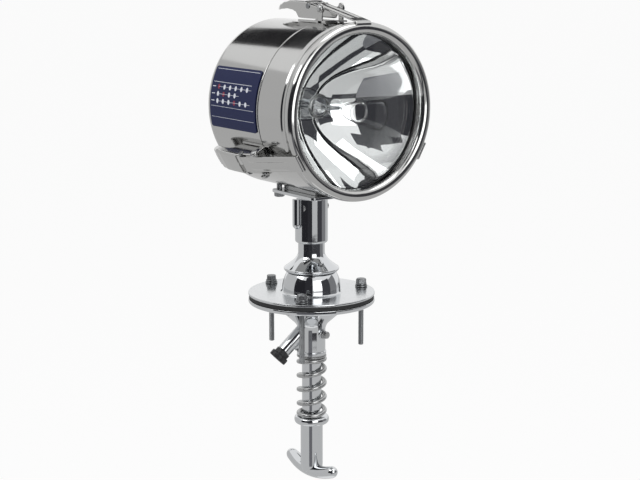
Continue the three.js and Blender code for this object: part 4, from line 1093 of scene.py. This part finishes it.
class SEARCHLIGHT_OT_front_band(bpy.types.Operator):
    """Adds the front band with its rolled bead, the lens gasket and the lamp's retaining ring"""

    bl_idname = "searchlight.front_band"
    bl_label = "Front band"

    def execute(self, context):
        size = sizes()
        band, bead, opening = size["band_radius"], size["bead_radius"], size["lens_opening"]
        wall, rear, inner_rear, front, lip = 1.7, 33.0, 48.1, 72.5, 80.2
        bead_at, bead_depth, bead_from = 86.05, 6.45, -28
        nose_radii = ((bead - opening) / 2, bead_depth)
        nose = arc(((bead + opening) / 2, bead_at), nose_radii, bead_from, 180, 48)
        # The band draws in a little and then sweeps out into the rolled bead
        draw_in = 1.3
        fillet = []
        for share in (k / 20 for k in range(1, 20)):
            drawn = draw_in * math.sin(math.pi * share ** 0.8) ** 2
            radius = band - drawn + (nose[0][0] - band) * share ** 3
            fillet.append((radius, front + (nose[0][1] - front) * share))
        profile = rounded([
            (band - wall, inner_rear),
            (band - wall, rear + 0.4),
            (band - 1.0, rear, 0.3),
            (band, rear, 0.9),
            (band, front),
            *fillet,
            *nose,
            (opening, lip, 0.4),
            (band - wall, lip),
        ])
        more_segments = 24
        pressing = drum_turned(profile, size["segments"] + more_segments)
        pressing = piece(
            "front_band_pressing", pressing, polished_stainless(), "head", ["front_band"])
        bright_from = 81.5
        second_finish(pressing, bright_stainless(), lambda centre: -centre.y > bright_from)
        inner = opening - 0.5
        gasket = rounded([(inner, 77.9), (inner, 79.4, 0.4), (LAMP_RADIUS, 79.6), (LAMP_RADIUS, 77.7)])
        piece(
            "lens_seal", drum_turned(gasket, size["segments"]), moulded_rubber(), "head",
            ["lens_gasket"])
        keep_solid(["lamp_ring"], satin_spring_steel())
        return {"FINISHED"}


class SEARCHLIGHT_OT_lamp(bpy.types.Operator):
    """Adds the sealed lamp: aluminised bowl, lens with a bare moulded roundel, filament and capsule"""

    bl_idname = "searchlight.lamp"
    bl_label = "Sealed lamp"

    # Radius of the bowl's mouth, front of the glass, its thickness at the lens, and the bowl's focal length
    rim, face, glass, focal = 81.0, 77.4, 4, 27
    mouth = face - glass - SEAT
    vertex = mouth - rim ** 2 / (4 * focal)

    def bowl(self, segments):
        wall, flange, socket, socket_depth = 3, 3, 15, 16

        def curve(radius):
            return self.vertex + radius ** 2 / (4 * self.focal)

        inside = [self.rim * math.sin(math.pi / 2 * k / 48) for k in range(49)]
        outside = [(r + wall * r / LAMP_RADIUS, curve(r) - wall) for r in (78, 70, 60, 48, 36, 25, 15)]
        profile = rounded([
            *[(r, curve(r)) for r in inside],
            (LAMP_RADIUS, self.mouth, 0.5),
            (LAMP_RADIUS, self.mouth - flange, 0.6),
            *outside,
            (socket, self.vertex - socket_depth),
            (0, self.vertex - socket_depth),
        ], 3)
        piece(
            "aluminised_bowl", drum_turned(profile, segments), aluminised_glass(), "head",
            ["lamp_reflector"], sharp=50)

    def lens(self, segments):
        crown_rise, edge = 7, 87.6
        sphere = (LAMP_RADIUS ** 2 + crown_rise ** 2) / (2 * crown_rise)
        roundel, roundel_ridge, ridge_width, roundel_rise, edge_width = 10.2, 0.75, 0.9, 0.3, 0.8

        def crown(radius):
            return math.sqrt(sphere ** 2 - radius ** 2) - math.sqrt(sphere ** 2 - self.rim ** 2)

        def moulding(radius):
            """Height of the bare round moulding in the middle: a ridge round a raised field."""
            ridge = roundel_ridge * math.exp(-((radius - roundel) / ridge_width) ** 2)
            return ridge + roundel_rise * (0.5 - 0.5 * math.tanh((radius - roundel) / edge_width))

        # Closer points where the roundel's edge stands
        radii = [self.rim * k / 59 for k in range(60)] + [8 + 4 * k / 14 for k in range(15)]
        outer = [(r, self.face + crown(r) + moulding(r)) for r in sorted(radii)]
        inner = [(r, self.face - self.glass + crown(r)) for r in (self.rim * k / 30 for k in range(31))][::-1]
        profile = rounded([*outer, (edge, self.face, 0.6), (edge, self.face - self.glass, 0.6), *inner], 3)
        piece(
            "clear_lens", drum_turned(profile, segments), pressed_glass(), "head",
            ["lamp_lens"], sharp=60)

    def filament(self):
        focus, vertex = self.vertex + self.focal, self.vertex
        half_length, coil_radius, wire, turns, coil_steps = 6.2, 1.5, 0.32, 13, 24
        post_at, post_radius = 9, 1.0
        coil, steps = [], turns * coil_steps
        for k in range(steps + 1):
            angle = TURN * k / coil_steps
            across = -half_length + 2 * half_length * k / steps
            coil.append((across, coil_radius * math.cos(angle), focus + 0.3 + coil_radius * math.sin(angle)))
        wires = [tube(coil, wire, 8)]
        # Each post rises straight and leans in to its end of the coil
        post = [
            (post_at, vertex - 14.5),
            (post_at, vertex + 8),
            (post_at, focus - 2),
            (post_at - 0.4, focus - 0.6),
            (post_at - 1.4, focus + 0.2),
            (half_length, focus + 0.5),
        ]
        bead = ring(0, 2.2, vertex - 14.9, vertex - 13.9, 24, 0.4, 0.4)
        for way in (-1, 1):
            wires.append(tube([(way * across, 0, z) for across, z in post], post_radius, 16))
            wires.append(shifted(bead, x=way * post_at))
        piece(
            "coiled_filament", moved(merged(*wires), DRUM), drawn_tungsten(), "head",
            ["filament"])

    def capsule(self):
        """The clear capsule round the filament, which stands for the CAD model's shield, and its collar."""
        outer, inner, dome, hollow = 10.9, 10.2, 6.4, 4.6
        shoulder, root = self.vertex + self.focal + 2.6, self.vertex + 2.2
        capsule = [
            *arc((0, shoulder), (outer, dome), 90, 0, 12),
            (outer, root),
            (inner, root),
            *arc((0, shoulder), (inner, hollow), 0, 90, 12),
        ]
        piece(
            "lamp_capsule", drum_turned(capsule, 72), pressed_glass(), "head",
            ["filament_shield"])
        bore, radius, seat_radius, vertex = 10.3, 12.6, 11.1, self.vertex
        collar = rounded([
            (bore, vertex + 1.2),
            (radius, vertex + 1.6, 0.4),
            (radius, vertex + 3.4, 0.6),
            (seat_radius, vertex + 3.4),
            (seat_radius, vertex + 1.9),
            (bore, vertex + 1.9),
        ])
        piece("capsule_collar", drum_turned(collar, 48), satin_spring_steel(), "head")

    def execute(self, context):
        segments = sizes()["segments"]
        self.bowl(segments)
        self.lens(segments)
        self.filament()
        self.capsule()
        keep_solid(["lamp_terminal_1", "lamp_terminal_2"], oiled_bronze())
        return {"FINISHED"}


class SEARCHLIGHT_OT_saddle(bpy.types.Operator):
    """Adds the saddle plate with its tongue, and the bolts that hold it to the drum"""

    bl_idname = "searchlight.saddle"
    bl_label = "Saddle"

    def execute(self, context):
        half_wide, half_long, middle_y, corner_radius, thickness = 28, 39.5, -1.5, 6, 3.5
        corners = ((1, 1), (-1, 1), (-1, -1), (1, -1))
        outline = rounded([(half_wide * x, half_long * y, corner_radius) for x, y in corners], 8)
        plate = shifted(prism(outline, SADDLE_FOOT, SADDLE_FOOT + thickness), y=middle_y)
        piece(
            "saddle_plate_casting", plate, chromed_brass(), "head", ["saddle_plate"],
            bevel=0.7)
        # The tongue's side: forward of the tilt pin and up from it
        side = rounded([
            (2.2, 13.8), (-6, 13.8), (-14, 9), (-17.8, 4, 2), (-17.8, -4, 2.5),
            (-6, -4.5, 1.5), (-3.5, -6.6, 2), (3, -6.6, 3), (6.0, -4, 3), (6.0, 3.4, 3),
        ], 5)
        half = 5
        tongue = [[(x, -PIVOT_FORWARD - f, PIVOT_Z + up) for f, up in side] for x in (-half, half)]
        tongue = loft(tongue, closed_rows=True, caps=True)
        piece("saddle_tongue", tongue, chromed_brass(), "head", bevel=0.5)
        head_height, radius, tip = 4.5, 3, 0.5
        head = moved(hexagon(HEX_RADIUS, 0, head_height, 0.8), Matrix.Rotation(math.pi, 4, "X"))
        for number, x, y in ((1, -21, 31), (2, 21, -34)):
            node = f"saddle_bolt_{number}"
            low, high = corner(node, LOW, "z"), corner(node, HIGH, "z")
            foot = low + head_height
            shank = lathe([
                (0, foot - tip),
                (radius, foot - tip),
                (radius, high - tip),
                (radius - 0.4, high),
                (0, high),
            ], 32)
            bolt = shifted(merged(shifted(head, z=foot), shank), x=x, y=y)
            piece(
                f"saddle_hex_bolt_{number}", bolt, zinc_bolt_steel(), "head", [node], sharp=30)
        keep_solid(["saddle_nut_1", "saddle_nut_2"], zinc_bolt_steel())
        keep_solid(["saddle_pad"], satin_spring_steel())
        return {"FINISHED"}


def eased(points, place):
    """Height at a place on a curve that eases from each (place, height) point to the next."""
    if place <= points[0][0]:
        return points[0][1]
    for (x0, y0), (x1, y1) in zip(points, points[1:]):
        if place <= x1:
            t = (place - x0) / (x1 - x0)
            return y0 + (y1 - y0) * (t * t * (3 - 2 * t))
    return points[-1][1]


def in_steps(low, high, count):
    """Places from low to high, in count equal steps, without the last."""
    return [low + (high - low) * k / count for k in range(count)]


class SEARCHLIGHT_OT_latches(bpy.types.Operator):
    """Adds the three toggle latches: channel lever, hooked strap with ribs, pins and base with ears"""

    bl_idname = "searchlight.latches"
    bl_label = "Toggle latches"

    # Pins of the strap and of the lever: forward of the shaft axis, and up from the pot
    strap_pin, strap_pin_up = 11, 16
    pivot, pivot_up = 35, 14

    def lever(self, wide, pot):
        """The lever's skin, in across, up and forward; its web stops short of the pivot."""
        tail, nose = -48.8, 39.4
        top = [
            (tail, 12.4), (-43, 16.4), (-34, 19.0), (-24, 20.6), (-13, 21),
            (5.5, 21), (15, 18.2), (30, 16.4), (36, 16.6), (nose, 14.6),
        ]
        low = [
            (tail, 9.8), (-43, 10.6), (-36, 11.2), (-27, 12.0), (-18, 11.2), (-12.5, 9.5),
            (-5, 3.2), (0, 3), (28, 3), (33, 9.2), (36, 9.8), (nose, 13.4),
        ]
        half = [(tail, wide - 4.6), (tail + 2, wide - 2.6), (-41, wide - 0.9), (-34, wide), (nose, wide)]
        spacing, edge, crown, web_end = 1.5, 2.6, 0.35, 4.4
        places = [tail, tail + 0.5, tail + 1.4] + [tail + 2.6 + spacing * k for k in range(57)]
        places = [place for place in places if place < nose - 0.2] + [nose]
        rows = []
        for place in places:
            t, b, w = eased(top, place), eased(low, place), eased(half, place)
            r = min(edge, (t - b) * 0.45)
            web = [-w + r + 2 * (w - r) * k / 10 for k in range(1, 10)]
            row = [(-w, up) for up in in_steps(b, t - r, 6)]
            row += arc((-w + r, t - r), (r, r), 180, 90, 5)
            row += [(x, t + crown * math.sin(math.pi * (k + 1) / 10)) for k, x in enumerate(web)]
            row += arc((w - r, t - r), (r, r), 90, 0, 5)
            row += [(w, up) for up in in_steps(b, t - r, 6)[::-1]]
            rows.append([(x, up + pot, place) for x, up in row])
        verts, faces = loft(rows)
        # Past the web's end only the two side walls are left, with what they turn in at the top
        runs, wall = len(rows[0]) - 1, 8
        kept = []
        for index, face in enumerate(faces):
            row, run = divmod(index, runs)
            if places[row] < web_end or not wall <= run < runs - wall:
                kept.append(face)
        return verts, kept

    def strap(self, wide, pot):
        """The strap's skin: a curl round the pin, a pull with two pressed ribs, and a hook over the bead."""
        top, fall, centre, curl, bend = 19.6, 0.203, 0.7, 2.8, 3
        hook_at, hook_drop = 91.4, 4.2
        rib_from, rib_to, rib_rise, rib_run, rib_width = 20, 78, 1.15, 5, 1.5

        def above(place):
            return top - fall * (place - self.strap_pin)

        pin = (self.strap_pin, self.strap_pin_up)
        path = arc(pin, (curl, curl), -60, -256, 14) + arc(pin, (curl, curl), -270, -282, 2)
        curl_points = len(path)
        path += [(place, above(place) - centre) for place in range(15, 89, 2)]
        bend_at = hook_at - bend
        path += arc((bend_at, above(bend_at) - centre - bend), (bend, bend), 90, 0, 8)
        path += [(hook_at, above(hook_at) - hook_drop)]
        rows = []
        for i, (place, up) in enumerate(path):
            rise = 0.0
            if rib_from < place < rib_to and i >= curl_points:
                rise = rib_rise * min(1, (place - rib_from) / rib_run, (rib_to - place) / rib_run)
            along = (Vector(path[min(i + 1, len(path) - 1)]) - Vector(path[max(i - 1, 0)])).normalized()
            row = []
            for k in range(33):
                x = -wide + 2 * wide * k / 32
                rib = math.exp(-((abs(x) - wide / 2) / rib_width) ** 2) * rise
                row.append((x, up + pot + rib * along.x, place - rib * along.y))
            rows.append(row)
        return loft(rows)

    def foot(self, inner, ear, pot):
        """The base, bent to the pot, and its two ears that carry the pivot."""
        rear, front, outer = -4, 44.5, inner + ear
        rows = []
        for x in (-outer + 2 * outer * k / 16 for k in range(17)):
            under = math.sqrt((pot + 0.25) ** 2 - x * x)
            over = pot + 2 - 0.35 * (x / 14) ** 2
            rows.append([(x, under, rear), (x, over, rear), (x, over, front), (x, under, front)])
        half_ear, ear_foot, ear_top = 3.5, pot - 1, pot + 19.4
        outline = rounded([
            (self.pivot - half_ear, ear_foot),
            (self.pivot - half_ear, ear_top, 3.4),
            (self.pivot + half_ear, ear_top, 3.4),
            (self.pivot + half_ear, ear_foot),
        ], 8)
        parts = [loft(rows, closed_rows=True, caps=True)]
        for x in (inner, -outer):
            sides = [[(across, up, place) for place, up in outline] for across in (x, x + ear)]
            parts.append(loft(sides, closed_rows=True, caps=True))
        return merged(*parts)

    def rivets(self, inner, pot):
        """The pivot's two rivets, with domed heads outside the ears."""
        shank, head = 2.6, 3.9
        dome = [(head, 4.3), (head, 4.7), (3.3, 5.5), (2.0, 6.0), (0, 6.2)]
        rivet = lathe([(0, 0), (shank, 0), (shank, 4.2), *dome], 40)
        both = []
        for way in (-1, 1):
            place = Matrix.Translation((way * (inner - 2.1), pot + self.pivot_up, self.pivot))
            both.append(moved(rivet, place @ Matrix.Rotation(way * math.pi / 2, 4, "Y")))
        return merged(*both)

    def pin(self, wide, pot):
        """The strap's pin, with a flat head against each wall of the lever."""
        radius, head = 2.0, 3.0
        edge, end = wide + 0.9, wide + 1.0
        half = [(radius, wide), (head, wide + 0.05), (head, edge, 0.3), (radius, end, 0.3), (0, end)]
        below = [(r, -z, *rounding) for r, z, *rounding in half]
        pin = lathe(rounded(below[::-1] + half, 3), 32)
        return moved(pin, Matrix.Translation((0, pot + self.strap_pin_up, self.strap_pin)) @ LAY)

    def execute(self, context):
        size = sizes()
        wide, pot, sheet = size["lever_width"] / 2, size["pot_radius"], size["sheet"]
        inner, ear, strap_sheet = wide + SEAT, 2, 1.4
        lever, strap = self.lever(wide, pot), self.strap(size["strap_width"] / 2, pot)
        foot, rivets, pin = self.foot(inner, ear, pot), self.rivets(inner, pot), self.pin(wide, pot)
        bright, satin = bright_stainless(), satin_spring_steel()
        for n in (1, 2, 3):
            place = DRUM @ Matrix.Rotation(-TURN * (n - 1) / 3, 4, "Z")
            arm = piece(
                f"channel_lever_{n}", lever, bright, f"lever_{n}", [f"latch_lever_{n}"],
                place=place, sharp=60)
            pull = piece(
                f"hooked_strap_{n}", strap, bright, f"strap_{n}", [f"latch_strap_{n}"],
                place=place, sharp=60)
            # The lever's outline is its outside, and the strap's runs through the middle of its sheet
            for obj, thickness, offset, edge in ((arm, sheet, -1, 0.35), (pull, strap_sheet, 0, 0.3)):
                skin = obj.modifiers.new("sheet", "SOLIDIFY")
                skin.thickness, skin.offset = thickness * MM, offset
                bevel_edges(obj, edge, 2, 50)
            piece(
                f"strap_rivet_{n}", pin, zinc_bolt_steel(), f"lever_{n}", [f"strap_pin_{n}"],
                place=place)
            piece(
                f"latch_foot_{n}", foot, bright, "head", [f"latch_base_{n}"], place=place,
                bevel=0.4)
            piece(f"pivot_rivet_{n}", rivets, satin, "head", place=place)
        return {"FINISHED"}


# Stage
def card(name, start, end, profile, shade, rise=0):
    """A curved studio card round the object, seen only in its reflections.

    It runs from one azimuth to another, in degrees from +X, through (radius, height) points in millimetres.
    Its top edge may rise from the start to the end.
    """
    rows, steps = [], 48
    for share in (i / steps for i in range(steps + 1)):
        a = math.radians(start + (end - start) * share)
        *lower, (radius, height) = profile
        edge = [*lower, (radius, height + rise * share)]
        rows.append([(r * MM * math.cos(a), r * MM * math.sin(a), z * MM) for r, z in edge])
    verts, faces = loft(rows)
    mesh = bpy.data.meshes.new(name)
    mesh.from_pydata(verts, [], faces)
    obj = bpy.data.objects.new(name, mesh)
    bpy.context.scene.collection.objects.link(obj)

    def build(tree):
        return add_node(tree, "ShaderNodeEmission", {"Color": linear(shade), "Strength": 1.0})

    mesh.materials.append(material_of(name + "_cloth", build))
    obj.visible_camera = obj.visible_diffuse = obj.visible_shadow = False


def softbox(name, azimuth, elevation, distance, wide, high, power):
    """A soft studio lamp aimed at the middle of the object, its distance and sizes in metres."""
    light = bpy.data.lights.new(name, "AREA")
    light.shape, light.size, light.size_y, light.energy = "RECTANGLE", wide, high, power
    obj = bpy.data.objects.new(name, light)
    a, e = math.radians(azimuth), math.radians(elevation)
    aim = Vector((0, 0, 0.08))
    away = Vector((math.cos(a) * math.cos(e), math.sin(a) * math.cos(e), math.sin(e)))
    obj.location = aim + away * distance
    obj.rotation_euler = (obj.location - aim).to_track_quat("Z", "Y").to_euler()
    obj.visible_camera = False
    bpy.context.scene.collection.objects.link(obj)


def looked_at(tree):
    """1 where the camera, a mirror or a glass looks, and 0 where the surface only lights the object."""
    path = add_node(tree, "ShaderNodeLightPath").outputs
    seen = path["Is Camera Ray"]
    for ray in ("Is Glossy Ray", "Is Transmission Ray"):
        seen = add_node(tree, "ShaderNodeMath", None, {0: seen, 1: path[ray]}, operation="MAXIMUM").outputs[0]
    return seen


def white_paper(tree):
    """Paper that is nearly white to the eye and in the metal, with the object's shadow left in it."""
    glow_share = add_node(tree, "ShaderNodeMath", {1: 0.92}, {0: looked_at(tree)}, operation="MULTIPLY")
    paper = add_node(tree, "ShaderNodeBsdfDiffuse", {"Color": linear("#F4F4F4")})
    glow = add_node(tree, "ShaderNodeEmission", {"Color": (1, 1, 1, 1), "Strength": 1.0})
    return add_node(
        tree, "ShaderNodeMixShader", None,
        {0: glow_share.outputs[0], 1: paper.outputs[0], 2: glow.outputs[0]})


class SEARCHLIGHT_OT_studio(bpy.types.Operator):
    """Adds the pale floor, the soft lamps, the cards that the metal mirrors, the world and the camera"""

    bl_idname = "searchlight.studio"
    bl_label = "Studio"

    def floor(self, scene):
        reach, height = 60.0, -0.5  # metres
        mesh = bpy.data.meshes.new("studio_floor")
        corners = ((-reach, -reach), (reach, -reach), (reach, reach), (-reach, reach))
        mesh.from_pydata([(x, y, height) for x, y in corners], [], [(0, 1, 2, 3)])
        mesh.materials.append(material_of("white_paper_floor", white_paper))
        floor = bpy.data.objects.new("studio_floor", mesh)
        scene.collection.objects.link(floor)

    def world(self, scene):
        scene.world = bpy.data.worlds.new("white_tent")
        scene.world.use_nodes = True
        tree = scene.world.node_tree
        tree.nodes.clear()
        strength = add_node(
            tree, "ShaderNodeMapRange", {"To Min": 0.55, "To Max": 1.0}, {"Value": looked_at(tree)})
        back = add_node(
            tree, "ShaderNodeBackground", {"Color": (1, 1, 1, 1)}, {"Strength": strength.outputs[0]})
        add_node(tree, "ShaderNodeOutputWorld", None, {"Surface": back.outputs[0]})

    def lamps_and_cards(self):
        softbox("key_softbox", 261, 12, 1.9, 1.25, 1.5, 10)
        softbox("left_softbox", 175, 38, 2.2, 1.0, 1.0, 10)
        softbox("top_softbox", 300, 70, 2.2, 1.2, 1.2, 10)
        # Dark bands in the drum, the neck and the lamp's bowl
        card("black_flag_left", 163, 208, [(1400, -400), (1400, 985)], "#2A2A2E")
        card("black_flag_camera", 208, 239, [(1390, -295), (1390, 1300)], "#343438", rise=1200)
        card("grey_flag_below", 208, 239, [(530, -425), (1380, -296)], "#77777B")
        card("dark_flag_high", 222, 254, [(1390, 1450), (1390, 2300)], "#404044")
        card("dark_strip_low", 239, 278, [(1100, -345), (1100, -150)], "#3C3C40")
        card("dark_flag_right", 276, 312, [(1400, -290), (1400, 840)], "#46464A")
        card("grey_flag_right", 312, 348, [(1400, -290), (1400, 700)], "#8A8A8C")
        card("dark_gobo_behind", 62, 96, [(1200, 925), (1200, 1300)], "#242426")
        card("dark_gobo_high", 38, 58, [(1200, 740), (1200, 1060)], "#3A3A3C")
        # A pale tent, a little greyer than the white room
        card("grey_tent_left", 94, 163, [(1500, -200), (1500, 1000)], "#D2D2D2")
        card("grey_tent_below", 0, 360, [(200, -490), (1450, -300), (1500, 0)], "#D0D0D0")

    def camera(self, scene):
        # Solved on the ellipses of the roof flange and of the front bead
        camera = bpy.data.cameras.new("photo_camera")
        camera.lens, camera.sensor_width = 85.69, 36.0
        eye = bpy.data.objects.new("photo_camera", camera)
        eye.location = (-0.9669, -1.3308, 0.39445)
        down, turn = 11.352, 53.672 - 90
        eye.rotation_euler = (math.radians(90 - down), 0, math.radians(turn))
        scene.collection.objects.link(eye)
        scene.camera = eye

    def execute(self, context):
        scene = context.scene
        scene.view_settings.view_transform = "Standard"
        self.floor(scene)
        self.world(scene)
        self.lamps_and_cards()
        self.camera(scene)
        return {"FINISHED"}


class SEARCHLIGHT_PT_panel(bpy.types.Panel):
    """Lists the pieces of the searchlight and its studio"""

    bl_idname = "SEARCHLIGHT_PT_panel"
    bl_label = "Searchlight"
    bl_space_type = "VIEW_3D"
    bl_region_type = "UI"
    bl_category = "Searchlight"

    def draw(self, context):
        for operator in OPERATORS:
            self.layout.operator(operator.bl_idname)
        for group in (context.scene.searchlight_sizes, context.scene.searchlight_colours):
            box = self.layout.box()
            for name in group.__annotations__:
                box.prop(group, name)


OPERATORS = (
    SEARCHLIGHT_OT_roof_flange,
    SEARCHLIGHT_OT_roof_bolts,
    SEARCHLIGHT_OT_lower_casting,
    SEARCHLIGHT_OT_gland,
    SEARCHLIGHT_OT_bell_and_neck,
    SEARCHLIGHT_OT_tee_handle,
    SEARCHLIGHT_OT_return_spring,
    SEARCHLIGHT_OT_drum,
    SEARCHLIGHT_OT_front_band,
    SEARCHLIGHT_OT_lamp,
    SEARCHLIGHT_OT_saddle,
    SEARCHLIGHT_OT_latches,
    SEARCHLIGHT_OT_studio,
)
CLASSES = (SearchlightSizes, SearchlightColours, *OPERATORS, SEARCHLIGHT_PT_panel)


def register():
    for cls in CLASSES:
        bpy.utils.register_class(cls)
    bpy.types.Scene.searchlight_sizes = PointerProperty(type=SearchlightSizes)
    bpy.types.Scene.searchlight_colours = PointerProperty(type=SearchlightColours)


def unregister():
    del bpy.types.Scene.searchlight_sizes
    del bpy.types.Scene.searchlight_colours
    for cls in reversed(CLASSES):
        bpy.utils.unregister_class(cls)


def main():
    register()
    for operator in OPERATORS:
        group, name = operator.bl_idname.split(".")
        getattr(getattr(bpy.ops, group), name)()
    bpy.context.view_layer.update()


if __name__ == "__main__":
    main()
